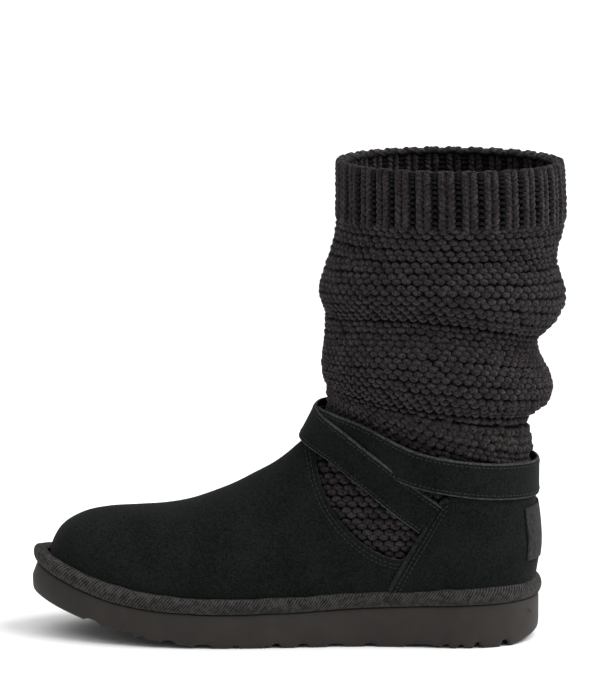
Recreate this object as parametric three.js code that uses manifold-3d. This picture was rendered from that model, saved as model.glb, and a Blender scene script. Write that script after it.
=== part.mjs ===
// A slouchy knit-shaft boot for a right foot: suede foot, ribbed knit shaft, wrapped ankle strap.
// Millimetres. +Z is up, the toe points to -X, and the medial side faces -Y.
// The origin is on the floor, under the middle of the heel.
import * as THREE from "three";
import { mergeVertices } from "three/addons/utils/BufferGeometryUtils.js";
import Module from "manifold-3d";

const wasm = await Module();
wasm.setup();

// Driving dimensions: a women's EU 38, foot length 240.
const SOLE_BACK = 36;
const SOLE_TIP = -235;
const TOE_SPRING_START = -120;
const TOE_SPRING_RADIUS = 290;
// The tread's back edge rises behind the heel's last lug.
const HEEL_BEVEL = { from: 22, height: 5.5 };
const SUEDE = 2.4;
const COUNTER = 1.3;
const LABEL = 0.7;
const KNIT = 4;
const INSOLE = 4.5;
const STRAP_THICK = 1.5;
const STRAP_WIDTH = 19.4;
const GAP = 0.3;
const CUFF_RIBS = 32;
const CUFF_RELIEF = 1.3;
const GROOVE_DEPTH = 2.8;
const FAR = 400;

const COLOURS = {
  rubber: { color: 0x39322e, roughness: 0.75, metalness: 0 },
  suede: { color: 0x101312, roughness: 0.95, metalness: 0 },
  knit: { color: 0x2b2728, roughness: 0.95, metalness: 0 },
  tape: { color: 0x1c1b1a, roughness: 0.9, metalness: 0 },
  fleece: { color: 0x1d1b1b, roughness: 1, metalness: 0 },
  label: { color: 0x2a2a2a, roughness: 0.8, metalness: 0 },
};

// Height of the sole's side wall along the foot, above the tread.
const WALL_HEIGHT = [
  { x: -236, height: 16.2 },
  { x: -208, height: 15 },
  { x: -190, height: 14.8 },
  { x: -171, height: 15.8 },
  { x: -148, height: 17.4 },
  { x: -122, height: 18.2 },
  { x: -90, height: 19 },
  { x: -66, height: 20.5 },
  { x: -36, height: 21.8 },
  { x: 0, height: 23.2 },
  { x: 40, height: 23.6 },
];

// Height of the foxing tape above the sole's top edge.
const TAPE_HEIGHT = [
  { x: -236, height: 9.6 },
  { x: -190, height: 9.2 },
  { x: -150, height: 7.8 },
  { x: -70, height: 7.6 },
  { x: 0, height: 8.2 },
  { x: 40, height: 10.6 },
];

// The sole's outline at its widest level, from the heel round the medial side and back.
const SOLE_OUTLINE = [
  { x: 36, y: 0 },
  { x: 32, y: -16 },
  { x: 20, y: -29 },
  { x: 0, y: -35.8 },
  { x: -30, y: -35.2 },
  { x: -60, y: -36 },
  { x: -95, y: -41.5 },
  { x: -130, y: -46 },
  { x: -160, y: -46.5 },
  { x: -187, y: -42 },
  { x: -210, y: -33.5 },
  { x: -226, y: -23 },
  { x: -235, y: -8 },
  { x: -231, y: 8 },
  { x: -218, y: 22.5 },
  { x: -197, y: 37 },
  { x: -168, y: 47.5 },
  { x: -135, y: 50.5 },
  { x: -100, y: 48 },
  { x: -60, y: 41 },
  { x: -25, y: 37 },
  { x: 3, y: 35.8 },
  { x: 21, y: 28.5 },
  { x: 32, y: 16 },
];

// Sections of the boot's outer form, each on a plane through a front point and an end point.
// The planes stand upright at the toe, fan round the throat over the heel, and lie nearly flat up the shaft.
// medial and lateral are half widths from midY, wide is where the section is widest on its way from front
// to end, lift raises the two sides, and frontRound and endRound are the exponents of the two round ends.
const FOOT_SECTIONS = [
  { frontX: -225.6, frontZ: 43, endX: -226, endZ: 23, medial: 0, lateral: 0, midY: -4.5, wide: 0.6, frontRound: 2, endRound: 2.6 },
  { frontX: -225, frontZ: 47, endX: -225, endZ: 22, medial: 9.5, lateral: 10, midY: -4.5, wide: 0.6, frontRound: 2, endRound: 2.6 },
  { frontX: -223, frontZ: 52, endX: -223, endZ: 21, medial: 15, lateral: 16.5, midY: -4.8, wide: 0.6, frontRound: 2, endRound: 2.7 },
  { frontX: -219.5, frontZ: 57.2, endX: -219.5, endZ: 19, medial: 18.7, lateral: 21, midY: -5, wide: 0.62, frontRound: 2.05, endRound: 2.8 },
  { frontX: -214, frontZ: 61.4, endX: -214, endZ: 17, medial: 22.4, lateral: 25.4, midY: -5, wide: 0.63, frontRound: 2.1, endRound: 2.9 },
  { frontX: -205, frontZ: 65.2, endX: -205, endZ: 13, medial: 27.2, lateral: 31.8, midY: -5, wide: 0.64, frontRound: 2.15, endRound: 3 },
  { frontX: -193, frontZ: 67.4, endX: -193, endZ: 9, medial: 31.4, lateral: 38.4, midY: -5, wide: 0.65, frontRound: 2.2, endRound: 3 },
  { frontX: -179, frontZ: 68.3, endX: -179, endZ: 6, medial: 35, lateral: 43.6, midY: -5, wide: 0.66, frontRound: 2.2, endRound: 3 },
  { frontX: -164, frontZ: 69.6, endX: -164, endZ: 5, medial: 37.2, lateral: 47, midY: -4.8, wide: 0.67, frontRound: 2.15, endRound: 3 },
  { frontX: -149, frontZ: 72.8, endX: -149, endZ: 4, medial: 38.2, lateral: 49, midY: -4.4, wide: 0.69, frontRound: 2.1, endRound: 3 },
  { frontX: -134, frontZ: 78.4, endX: -134, endZ: 4, medial: 38, lateral: 49, midY: -3.8, wide: 0.71, frontRound: 2.05, endRound: 3 },
  { frontX: -121, frontZ: 84, endX: -119, endZ: 4, medial: 37, lateral: 47.8, midY: -3.2, wide: 0.72, frontRound: 2, endRound: 3 },
  { frontX: -111, frontZ: 89.2, endX: -101, endZ: 4.5, medial: 35.8, lateral: 45.4, midY: -2.6, wide: 0.72, frontRound: 2, endRound: 3 },
  { frontX: -104, frontZ: 93.7, endX: -82, endZ: 5, medial: 34.6, lateral: 42.8, midY: -2, wide: 0.71, frontRound: 2, endRound: 3 },
  { frontX: -98.5, frontZ: 98, endX: -61, endZ: 6, medial: 33.4, lateral: 40, midY: -1.5, wide: 0.69, frontRound: 2, endRound: 3 },
  { frontX: -94.5, frontZ: 101.5, endX: -39, endZ: 7, medial: 32.8, lateral: 37.6, midY: -1, wide: 0.67, frontRound: 2, endRound: 2.9 },
  { frontX: -91.2, frontZ: 104.4, endX: -16, endZ: 8, medial: 32.6, lateral: 35.4, midY: -0.5, wide: 0.65, frontRound: 2, endRound: 2.8 },
  { frontX: -88.6, frontZ: 107, endX: 8, endZ: 9, medial: 33, lateral: 34.4, midY: 0, wide: 0.63, frontRound: 2, endRound: 2.7 },
  { frontX: -86.8, frontZ: 109.2, endX: 23.5, endZ: 14, medial: 33.6, lateral: 34, midY: 0, wide: 0.61, frontRound: 2, endRound: 2.6 },
  { frontX: -85.4, frontZ: 111.2, endX: 31, endZ: 25, medial: 34, lateral: 34.2, midY: 0, wide: 0.6, frontRound: 2, endRound: 2.5 },
  { frontX: -84.3, frontZ: 113.2, endX: 33.4, endZ: 38, medial: 34.6, lateral: 34.8, midY: 0, wide: 0.58, frontRound: 2, endRound: 2.4 },
  { frontX: -83.3, frontZ: 115.4, endX: 35, endZ: 51, medial: 35.4, lateral: 35.6, midY: 0, wide: 0.56, frontRound: 2, endRound: 2.3 },
  { frontX: -82.2, frontZ: 118.4, endX: 34.2, endZ: 65, medial: 36.4, lateral: 36.6, midY: 0, wide: 0.54, frontRound: 2, endRound: 2.2 },
  { frontX: -80.9, frontZ: 122.4, endX: 32.4, endZ: 78, medial: 37.4, lateral: 37.6, midY: 0, wide: 0.53, frontRound: 2, endRound: 2.15 },
  { frontX: -79.4, frontZ: 127, endX: 32.2, endZ: 91, medial: 38.2, lateral: 38.4, midY: 0, wide: 0.52, frontRound: 2, endRound: 2.1 },
];

// Sections of the slouched shaft, from the ankle over the two folds to the top of the cuff.
const SHAFT_SECTIONS = [
  { frontX: -77.8, frontZ: 131.5, endX: 32.4, endZ: 104, medial: 38.6, lateral: 38.6, lift: 0 },
  { frontX: -77.4, frontZ: 134.2, endX: 30, endZ: 117.6, medial: 37.6, lateral: 37.8, lift: 0 },
  { frontX: -78, frontZ: 136.5, endX: 33.4, endZ: 122, medial: 40, lateral: 40, lift: 0 },
  { frontX: -79.2, frontZ: 139.4, endX: 39.8, endZ: 126.6, medial: 43, lateral: 42.4, lift: 1 },
  { frontX: -80.1, frontZ: 143.6, endX: 42.8, endZ: 134, medial: 45, lateral: 44.4, lift: 3 },
  { frontX: -80.3, frontZ: 149, endX: 41.4, endZ: 142.4, medial: 45.6, lateral: 45, lift: 5 },
  { frontX: -79.6, frontZ: 156, endX: 37.4, endZ: 149.6, medial: 44.4, lateral: 44, lift: 7 },
  { frontX: -78.8, frontZ: 164, endX: 34.8, endZ: 156.4, medial: 42.6, lateral: 42.6, lift: 8 },
  { frontX: -78.5, frontZ: 170.5, endX: 34.9, endZ: 161.4, medial: 41.8, lateral: 42, lift: 8 },
  { frontX: -78.6, frontZ: 174.6, endX: 39.4, endZ: 165.8, medial: 43.4, lateral: 43.2, lift: 7.5 },
  { frontX: -79.6, frontZ: 178.6, endX: 45, endZ: 171.8, medial: 46, lateral: 45.4, lift: 7 },
  { frontX: -81.4, frontZ: 183, endX: 48.6, endZ: 179.4, medial: 48.2, lateral: 47.4, lift: 6 },
  { frontX: -81.8, frontZ: 188, endX: 49.2, endZ: 187, medial: 49, lateral: 48.2, lift: 5 },
  { frontX: -80.4, frontZ: 194.4, endX: 46.8, endZ: 195.6, medial: 47.8, lateral: 47.2, lift: 3.5 },
  { frontX: -77.6, frontZ: 202.6, endX: 44.6, endZ: 203.6, medial: 46, lateral: 45.6, lift: 2 },
  { frontX: -75, frontZ: 211, endX: 45, endZ: 210.4, medial: 45.2, lateral: 45, lift: 1 },
  { frontX: -73.2, frontZ: 219, endX: 47.2, endZ: 218, medial: 45.4, lateral: 45.4, lift: 0.5 },
  { frontX: -72.6, frontZ: 227.5, endX: 48.6, endZ: 227, medial: 46, lateral: 46, lift: 0 },
  { frontX: -72.4, frontZ: 242, endX: 48.2, endZ: 242, medial: 46.4, lateral: 46.4, lift: 0 },
  { frontX: -72.4, frontZ: 253.5, endX: 47.4, endZ: 253.5, medial: 46.2, lateral: 46.2, lift: 0 },
  { frontX: -71.4, frontZ: 257.2, endX: 46.2, endZ: 257.2, medial: 45.4, lateral: 45.4, lift: 0 },
].map((row) => ({ midY: 0, wide: 0.5, frontRound: 2.05, endRound: 2.05, ...row }));
const CUFF_ROWS = 4;
const SECTIONS = [...FOOT_SECTIONS, ...SHAFT_SECTIONS];
const KNIT_SHOWS = FOOT_SECTIONS.length - 1;

// The knit window's edge in the side view, from the throat's top down to the counter.
const WINDOW_EDGE = [
  { x: -110, z: 113.5 },
  { x: -88, z: 112.5 },
  { x: -83.6, z: 101 },
  { x: -80.4, z: 88.5 },
  { x: -74.5, z: 75.5 },
  { x: -66.5, z: 64.9 },
  { x: -57, z: 55.8 },
  { x: -46, z: 49.2 },
  { x: -35.5, z: 46.8 },
  { x: -31.5, z: 51.6 },
];
// The counter's front edge in the side view, from under the tape up to its top corner.
const COUNTER_EDGE = [
  { x: -47, z: 24 },
  { x: -42.6, z: 31.6 },
  { x: -31.5, z: 51.6 },
  { x: -25.7, z: 61.4 },
  { x: -16.8, z: 77.4 },
  { x: -12, z: 81.2 },
];
const WINDOW_CORNER = 2;
const SEAM_TOP = 4;
// The suede's top edge over the heel, hidden under the strap.
const HEEL_TOP = [
  { x: 0, z: 83.4 },
  { x: 20, z: 85 },
  { x: 60, z: 86.5 },
];
const PIPING_WIDTH = 2.4;
const PIPING_THICK = 2;

// Grooves across the tread: place, width and how far each swings along the foot.
const GROOVES = [
  { x: -204, width: 3.2, swing: 2 },
  { x: -190, width: 3.4, swing: 2 },
  { x: -176, width: 3.6, swing: 2.5 },
  { x: -162, width: 3.6, swing: 3 },
  { x: -145, width: 4, swing: 3 },
  { x: -122, width: 4, swing: 3 },
  { x: -102, width: 6.5, swing: 3 },
  { x: -86, width: 4, swing: 3 },
  { x: -70, width: 5, swing: 2.5 },
  { x: -52, width: 4, swing: 2.5 },
  { x: -34, width: 4, swing: 2.5 },
  { x: -17, width: 4.4, swing: 1.5 },
  { x: 10, width: 4.6, swing: 1.5 },
  { x: 23, width: 5, swing: 1.5 },
];

// The strap's centre line: angle round the ankle in degrees (0 at the heel, growing to the medial side),
// height, and how far its inner face stands off the form. It starts in the medial seam, crosses the front
// over its own second pass, rounds the heel, crosses the front underneath and ends in the lateral seam.
const STRAP_AXIS = { x: -27, y: 0 };
const STRAP_ROUTE = [
  { angle: -286, z: 66.6, off: 0.7 },
  { angle: -276, z: 71.6, off: 0.7 },
  { angle: -262, z: 77.4, off: 1.2 },
  { angle: -245, z: 86, off: 2.4 },
  { angle: -234, z: 92.3, off: 2.6 },
  { angle: -223, z: 98.3, off: 2.6 },
  { angle: -205, z: 108, off: 2.6 },
  { angle: -180, z: 115, off: 2.5 },
  { angle: -158, z: 114.8, off: 2.5 },
  { angle: -138, z: 111.2, off: 2.7 },
  { angle: -118, z: 104.2, off: 2.6 },
  { angle: -95, z: 97.8, off: 1.9 },
  { angle: -70, z: 94, off: 2.1 },
  { angle: -45, z: 90.6, off: 2.2 },
  { angle: -20, z: 88.4, off: 2.3 },
  { angle: 0, z: 87.4, off: 2.3 },
  { angle: 20, z: 88.4, off: 2.3 },
  { angle: 45, z: 90.6, off: 2.2 },
  { angle: 70, z: 94, off: 1.7 },
  { angle: 95, z: 97.8, off: 0.8 },
  { angle: 118, z: 104.2, off: 0.6 },
  { angle: 138, z: 110.2, off: 0.5 },
  { angle: 158, z: 113.2, off: 0.5 },
  { angle: 180, z: 114, off: 0.5 },
  { angle: 205, z: 108, off: 0.7 },
  { angle: 223, z: 98.3, off: 0.7 },
  { angle: 234, z: 92.3, off: 0.7 },
  { angle: 245, z: 86, off: 0.7 },
  { angle: 262, z: 77.4, off: 0.7 },
  { angle: 276, z: 71.6, off: 0.7 },
  { angle: 286, z: 66.6, off: 0.7 },
];

const clamp = (value, low, high) => Math.min(high, Math.max(low, value));

// A Catmull-Rom value through a column of a table whose rows are evenly spaced in t.
function columnAt(rows, key, t) {
  const i = clamp(Math.floor(t), 0, rows.length - 2);
  const u = t - i;
  const at = (k) => rows[clamp(k, 0, rows.length - 1)][key];
  const [a, b, c, d] = [at(i - 1), at(i), at(i + 1), at(i + 2)];
  return b + 0.5 * u * (c - a + u * (2 * a - 5 * b + 4 * c - d + u * (3 * (b - c) + d - a)));
}

// A straight-line value at x through a table with an x column.
function valueAt(rows, key, x) {
  const last = rows.length - 2;
  let i = 0;
  while (i < last && rows[i + 1].x < x) i += 1;
  const u = clamp((x - rows[i].x) / (rows[i + 1].x - rows[i].x), 0, 1);
  return rows[i][key] + u * (rows[i + 1][key] - rows[i][key]);
}

const spring = (x) => Math.max(0, TOE_SPRING_START - x) ** 2 / (2 * TOE_SPRING_RADIUS);
const soleTop = (x) => spring(x) + valueAt(WALL_HEIGHT, "height", x);
const bevelShare = (x) => clamp((x - HEEL_BEVEL.from) / (SOLE_BACK - HEEL_BEVEL.from), 0, 1);
const tread = (x) => spring(x) + HEEL_BEVEL.height * bevelShare(x);

function solid(positions, index) {
  const geometry = new THREE.BufferGeometry();
  geometry.setAttribute("position", new THREE.Float32BufferAttribute(positions, 3));
  geometry.setIndex(index);
  return solidOf(geometry);
}

function solidOf(geometry) {
  const bare = geometry.clone();
  bare.deleteAttribute("normal");
  bare.deleteAttribute("uv");
  const merged = mergeVertices(bare, 1e-3);
  return new wasm.Manifold(
    new wasm.Mesh({
      numProp: 3,
      vertProperties: new Float32Array(merged.attributes.position.array),
      triVerts: new Uint32Array(merged.index.array),
    }),
  );
}

function geometryOf(body) {
  const mesh = body.getMesh();
  const geometry = new THREE.BufferGeometry();
  geometry.setAttribute("position", new THREE.BufferAttribute(mesh.vertProperties, 3));
  geometry.setIndex(new THREE.BufferAttribute(mesh.triVerts, 1));
  geometry.computeVertexNormals();
  return geometry;
}

// A prism through the whole boot from an outline in the side view.
function sidePrism(points, from = -FAR, to = FAR) {
  const shape = new THREE.Shape(points.map((p) => new THREE.Vector2(p.x, p.z)));
  const geometry = new THREE.ExtrudeGeometry(shape, { depth: to - from, bevelEnabled: false });
  geometry.rotateX(Math.PI / 2);
  geometry.translate(0, to, 0);
  return solidOf(geometry);
}

// One point of the form: t counts sections, phi goes round from the front (0) by the medial side.
function formPoint(t, phi) {
  const s = {};
  for (const key of Object.keys(SHAFT_SECTIONS[0])) {
    s[key] = columnAt(SECTIONS.map((row) => ({ lift: 0, ...row })), key, t);
  }
  const medial = Math.sin(phi) >= 0;
  const cos = Math.cos(phi);
  const power = 2 / (cos >= 0 ? s.frontRound : s.endRound);
  const along = cos >= 0 ? s.wide * (1 - cos ** power) : s.wide + (1 - s.wide) * (-cos) ** power;
  const across = Math.abs(Math.sin(phi)) ** power * (medial ? -s.medial : s.lateral);
  return new THREE.Vector3(
    s.frontX + along * (s.endX - s.frontX),
    s.midY + across,
    s.frontZ + along * (s.endZ - s.frontZ) + s.lift * Math.sin(phi) ** 2,
  );
}

// The rings of the form with each point moved along the surface's normal by offset(t, phi).
function formRings(from, to, perSection, around, offset) {
  const count = Math.round((to - from) * perSection) + 1;
  const angle = (j) => (2 * Math.PI * j) / around;
  const base = [];
  for (let i = 0; i < count; i += 1) {
    const t = from + ((to - from) * i) / (count - 1);
    base.push(Array.from({ length: around }, (_, j) => formPoint(t, angle(j))));
  }
  const normal = new THREE.Vector3();
  return base.map((ring, i) =>
    ring.map((point, j) => {
      const t = from + ((to - from) * i) / (count - 1);
      const before = base[Math.max(i - 1, 0)][j];
      const after = base[Math.min(i + 1, count - 1)][j];
      const left = ring[(j + around - 1) % around];
      const right = ring[(j + 1) % around];
      normal.subVectors(right, left).cross(after.clone().sub(before)).normalize();
      if (t === 0) normal.set(-1, 0, 0);
      return point.clone().addScaledVector(normal, offset(t, angle(j)));
    }),
  );
}

// A closed solid from rings of points, capped at each end that isn't a seam.
function ringSolid(rings, capStart) {
  const around = rings[0].length;
  const positions = rings.flat().flatMap((p) => [p.x, p.y, p.z]);
  const index = [];
  for (let i = 0; i + 1 < rings.length; i += 1) {
    for (let j = 0; j < around; j += 1) {
      const a = i * around + j;
      const b = i * around + ((j + 1) % around);
      index.push(a, a + around, b, b, a + around, b + around);
    }
  }
  const cap = (ring, start, flip) => {
    const centre = ring.reduce((sum, p) => sum.add(p), new THREE.Vector3()).divideScalar(around);
    const c = positions.length / 3;
    positions.push(centre.x, centre.y, centre.z);
    for (let j = 0; j < around; j += 1) {
      const pair = [start + j, start + ((j + 1) % around)];
      index.push(c, ...(flip ? pair : pair.reverse()));
    }
  };
  if (capStart) cap(rings[0], 0, true);
  cap(rings.at(-1), (rings.length - 1) * around, false);
  const body = solid(positions, index);
  return body.volume() < 0 ? solid(positions, index.reverse()) : body;
}

// The form of the whole foot, offset by a constant, closed below the sole and above the ankle.
const FOOT_END = FOOT_SECTIONS.length + 1;
function footForm(offset, around = 32) {
  return ringSolid(formRings(0, FOOT_END, 1, around, () => offset), false);
}

// Everything under the upper's lower edge, and everything over a curve of the side view.
const STATION_STEP = 8;
const STATION_MARGIN = 25;
const STATION_COUNT = Math.round((SOLE_BACK - SOLE_TIP + 2 * STATION_MARGIN) / STATION_STEP) + 1;
const SOLE_STATIONS = Array.from({ length: STATION_COUNT }, (_, i) => SOLE_TIP - STATION_MARGIN + i * STATION_STEP);
const under = (raise) =>
  sidePrism([
    { x: SOLE_STATIONS[0], z: -FAR },
    { x: SOLE_STATIONS.at(-1), z: -FAR },
    ...SOLE_STATIONS.map((x) => ({ x, z: soleTop(x) + raise })).reverse(),
  ]);
const over = (line) => sidePrism([...line, { x: line.at(-1).x, z: FAR }, { x: line[0].x, z: FAR }]);

const EDGE_STEP = 7;
function smoothLine(line) {
  const curve = new THREE.SplineCurve(line.map((p) => new THREE.Vector2(p.x, p.z)));
  return curve.getSpacedPoints(Math.round(curve.getLength() / EDGE_STEP)).map((p) => ({ x: p.x, z: p.y }));
}
const topLine = [
  ...smoothLine(WINDOW_EDGE),
  ...smoothLine([...COUNTER_EDGE.slice(WINDOW_CORNER), ...HEEL_TOP]).slice(1),
];

function makeUpper() {
  return footForm(0).subtract(footForm(-SUEDE)).subtract(under(GAP)).subtract(over(topLine));
}

function makeInsole() {
  const block = footForm(-SUEDE - GAP, 28);
  return block.subtract(under(GAP)).intersect(under(GAP + INSOLE));
}

// The counter's region in the side view, starting a little way behind its front edge.
const shifted = (line, dx) => line.map((p) => ({ x: p.x + dx, z: p.z }));
function counterRegion(inset) {
  const front = shifted(COUNTER_EDGE, inset);
  return sidePrism([...front, ...HEEL_TOP, { x: HEEL_TOP.at(-1).x, z: 0 }, { x: front[0].x, z: 0 }]);
}
const STITCHED = PIPING_WIDTH + GAP;

function makeCounter() {
  const sheet = footForm(GAP + COUNTER).subtract(footForm(GAP));
  return sheet.intersect(counterRegion(STITCHED)).subtract(under(GAP));
}

// The piping runs down to just above the tape, within this stretch of the foot.
const PIPING_SPAN = { from: -80, to: 10 };
const PIPING_ABOVE_TAPE = 1;
const tapeTop = (x) => soleTop(x) + valueAt(TAPE_HEIGHT, "height", x);
function makePiping(side) {
  const region = sidePrism(
    [...COUNTER_EDGE, ...shifted(COUNTER_EDGE, PIPING_WIDTH).reverse()],
    side < 0 ? -FAR : 0,
    side < 0 ? 0 : FAR,
  );
  const sheet = footForm(GAP + PIPING_THICK).subtract(footForm(GAP));
  const { from, to } = PIPING_SPAN;
  const floor = sidePrism([
    { x: from, z: 0 },
    { x: to, z: 0 },
    { x: to, z: tapeTop(to) + PIPING_ABOVE_TAPE },
    { x: from, z: tapeTop(from) + PIPING_ABOVE_TAPE },
  ]);
  return sheet.intersect(region).subtract(floor);
}

// The label across the heel: its size, and the height of its middle.
const LABEL_SIZE = { width: 38, height: 28, z: 59 };
const LABEL_AROUND = 72;
const HEEL_FRONT = 5;
function makeLabel() {
  const inner = GAP + COUNTER + GAP;
  const sheet = footForm(inner + LABEL, LABEL_AROUND).subtract(footForm(inner, LABEL_AROUND));
  const { width, height, z } = LABEL_SIZE;
  const block = sidePrism(
    [
      { x: HEEL_FRONT, z: z - height / 2 },
      { x: FAR, z: z - height / 2 },
      { x: FAR, z: z + height / 2 },
      { x: HEEL_FRONT, z: z + height / 2 },
    ],
    -width / 2,
    width / 2,
  );
  return sheet.intersect(block);
}

// Points round the sole with their outward directions.
const OUTLINE_STEPS = 56;
function soleOutline() {
  const curve = new THREE.CatmullRomCurve3(
    SOLE_OUTLINE.map((p) => new THREE.Vector3(p.x, p.y, 0)),
    true,
    "centripetal",
  );
  return Array.from({ length: OUTLINE_STEPS }, (_, i) => {
    const p = curve.getPointAt(i / OUTLINE_STEPS);
    const d = curve.getTangentAt(i / OUTLINE_STEPS);
    return { x: p.x, y: p.y, outX: -d.y, outY: d.x };
  });
}
const SOLE_MIDDLE = -100;
const OUTLINE = soleOutline().map((p) => {
  const inward = (p.x - SOLE_MIDDLE) * p.outX + p.y * p.outY < 0 ? -1 : 1;
  return { ...p, outX: p.outX * inward, outY: p.outY * inward };
});
// Towards the toe the wall leans in to its top edge, and the tape follows it.
const TOE_LEAN = { from: -195, length: 40, sole: 2.6, tape: 2.2 };
const toeShare = (x) => clamp((TOE_LEAN.from - x) / TOE_LEAN.length, 0, 1);

// The outsole's levels: share of the wall height, and how far each is drawn in from the outline.
const SOLE_LEVELS = [
  { share: 0, inset: () => 4 },
  { share: 0.08, inset: () => 1.6 },
  { share: 0.24, inset: () => 0.5 },
  { share: 0.5, inset: () => 0 },
  { share: 1, inset: (x) => TOE_LEAN.sole * toeShare(x) },
];

function makeOutsole() {
  const rings = SOLE_LEVELS.map((level) =>
    OUTLINE.map((p) => {
      const inset = level.inset(p.x);
      const x = p.x - p.outX * inset;
      const z = tread(x) + level.share * (soleTop(x) - tread(x));
      return new THREE.Vector3(x, p.y - p.outY * inset, z);
    }),
  );
  const n = OUTLINE_STEPS;
  const positions = rings.flat().flatMap((p) => [p.x, p.y, p.z]);
  const index = [];
  for (let i = 0; i + 1 < rings.length; i += 1) {
    for (let j = 0; j < n; j += 1) {
      const a = i * n + j;
      const b = i * n + ((j + 1) % n);
      index.push(a, b, a + n, b, b + n, a + n);
    }
  }
  // Each cap is a ladder of strips across the foot, so it keeps the curve of the side view.
  const ladder = (start, turned) => {
    for (let j = 0; j < n / 2; j += 1) {
      const quad = [j, j + 1, (n - j - 1) % n, (n - j) % n].map((k) => start + k);
      const tris = [
        [quad[0], quad[1], quad[2]],
        [quad[0], quad[2], quad[3]],
      ];
      for (const tri of tris) {
        if (new Set(tri).size === 3) index.push(...(turned ? tri.reverse() : tri));
      }
    }
  };
  ladder(0, true);
  ladder((rings.length - 1) * n, false);
  let body = solid(positions, index);
  if (body.volume() < 0) body = solid(positions, index.reverse());
  return GROOVES.reduce((left, groove) => left.subtract(grooveCut(groove)), body);
}

// A wavy bar across the tread, as deep as a groove.
const GROOVE_STEPS = 6;
const GROOVE_REACH = 62;
const GROOVE_WAVE = 40;
const GROOVE_BELOW = 6;
function grooveCut({ x, width, swing }) {
  const edge = (side) =>
    Array.from({ length: GROOVE_STEPS + 1 }, (_, i) => {
      const y = -GROOVE_REACH + (2 * GROOVE_REACH * i) / GROOVE_STEPS;
      return new THREE.Vector2(x + side * width * 0.5 + swing * Math.cos((2 * Math.PI * y) / GROOVE_WAVE), y);
    });
  const shape = new THREE.Shape([...edge(-1), ...edge(1).reverse()]);
  const geometry = new THREE.ExtrudeGeometry(shape, { depth: GROOVE_DEPTH + GROOVE_BELOW, bevelEnabled: false });
  geometry.translate(0, 0, tread(x) - GROOVE_BELOW);
  return solidOf(geometry);
}

// The foxing tape's section: how far out of the sole's edge, and the share of its height.
const TAPE_SECTION = [
  { out: -11, share: 0 },
  { out: -0.4, share: 0 },
  { out: 0.9, share: 0.2 },
  { out: 1.5, share: 0.45 },
  { out: 1.1, share: 0.7 },
  { out: -0.4, share: 0.9 },
  { out: -2.6, share: 1 },
  { out: -11, share: 1 },
];

function makeTape() {
  const rings = OUTLINE.map((p) =>
    TAPE_SECTION.map(({ out, share }) => {
      const reach = out - TOE_LEAN.tape * toeShare(p.x);
      const x = p.x + p.outX * reach;
      return new THREE.Vector3(
        x,
        p.y + p.outY * reach,
        soleTop(x) + GAP + share * valueAt(TAPE_HEIGHT, "height", x),
      );
    }),
  );
  const m = TAPE_SECTION.length;
  const positions = rings.flat().flatMap((p) => [p.x, p.y, p.z]);
  const index = [];
  for (let i = 0; i < OUTLINE_STEPS; i += 1) {
    for (let j = 0; j < m; j += 1) {
      const next = (i + 1) % OUTLINE_STEPS;
      const [a, b] = [i * m + j, i * m + ((j + 1) % m)];
      const [c, d] = [next * m + j, next * m + ((j + 1) % m)];
      index.push(a, b, c, b, d, c);
    }
  }
  let body = solid(positions, index);
  if (body.volume() < 0) body = solid(positions, index.reverse());
  const heel = footForm(GAP + COUNTER + GAP).intersect(counterRegion(STITCHED - GAP));
  return body.subtract(footForm(GAP)).subtract(heel).subtract(under(GAP));
}

// How far the knit's outer face lies from the form: under the suede at first, then as the form itself.
const KNIT_RISE = 1.4;
const knitFace = (t) => -(SUEDE + GAP) * (1 - THREE.MathUtils.smoothstep(t, KNIT_SHOWS, KNIT_SHOWS + KNIT_RISE));
const TOP = SECTIONS.length - 1;
// The knit reaches this far below the suede's top edge, and its own rings start at this section.
const KNIT_BOTTOM = 8;
const KNIT_START = 12;
const OPEN_ABOVE = 12;

// The knit's outer form, or with a depth the room inside it, which runs out through the collar.
function shaftForm(around, perSection, depth) {
  const rings = formRings(KNIT_START, TOP, perSection, around, (t) => knitFace(t) - depth);
  if (depth > 0) rings.push(rings.at(-1).map((p) => p.clone().setZ(p.z + OPEN_ABOVE)));
  return ringSolid(rings, true);
}

// The cuff's ribs stand out of the knit as upright rounds, and end below its rolled rim.
const CUFF_LEVELS = [
  { t: TOP - CUFF_ROWS + 0.6, share: 0 },
  { t: TOP - CUFF_ROWS + 0.75, share: 1 },
  { t: TOP - 1, share: 1 },
  { t: TOP - 0.2, share: 0.5 },
];
const POINTS_PER_RIB = 4;
const CUFF_STAND = 0.2;
const RING_STEP = 0.01;

function cuffRibs() {
  const around = CUFF_RIBS * POINTS_PER_RIB;
  const rings = CUFF_LEVELS.map(({ t, share }) => {
    const relief = (_, phi) => CUFF_STAND + CUFF_RELIEF * share * (0.5 + 0.5 * Math.cos(phi * CUFF_RIBS));
    return formRings(t, t + RING_STEP, 1 / RING_STEP, around, relief)[0];
  });
  return ringSolid(rings, true);
}

const KNIT_OUTSIDE = { around: 32, perSection: 1 };
const KNIT_INSIDE = { around: 24, perSection: 0.7 };
function makeShaft() {
  const lower = topLine.map((p) => ({ x: p.x, z: p.z - KNIT_BOTTOM }));
  const below = sidePrism([
    { x: -FAR, z: lower[0].z },
    ...lower,
    { x: FAR, z: lower.at(-1).z },
    { x: FAR, z: -FAR },
    { x: -FAR, z: -FAR },
  ]);
  const outer = shaftForm(KNIT_OUTSIDE.around, KNIT_OUTSIDE.perSection, 0).add(cuffRibs());
  return outer.subtract(shaftForm(KNIT_INSIDE.around, KNIT_INSIDE.perSection, KNIT)).subtract(below);
}

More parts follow.
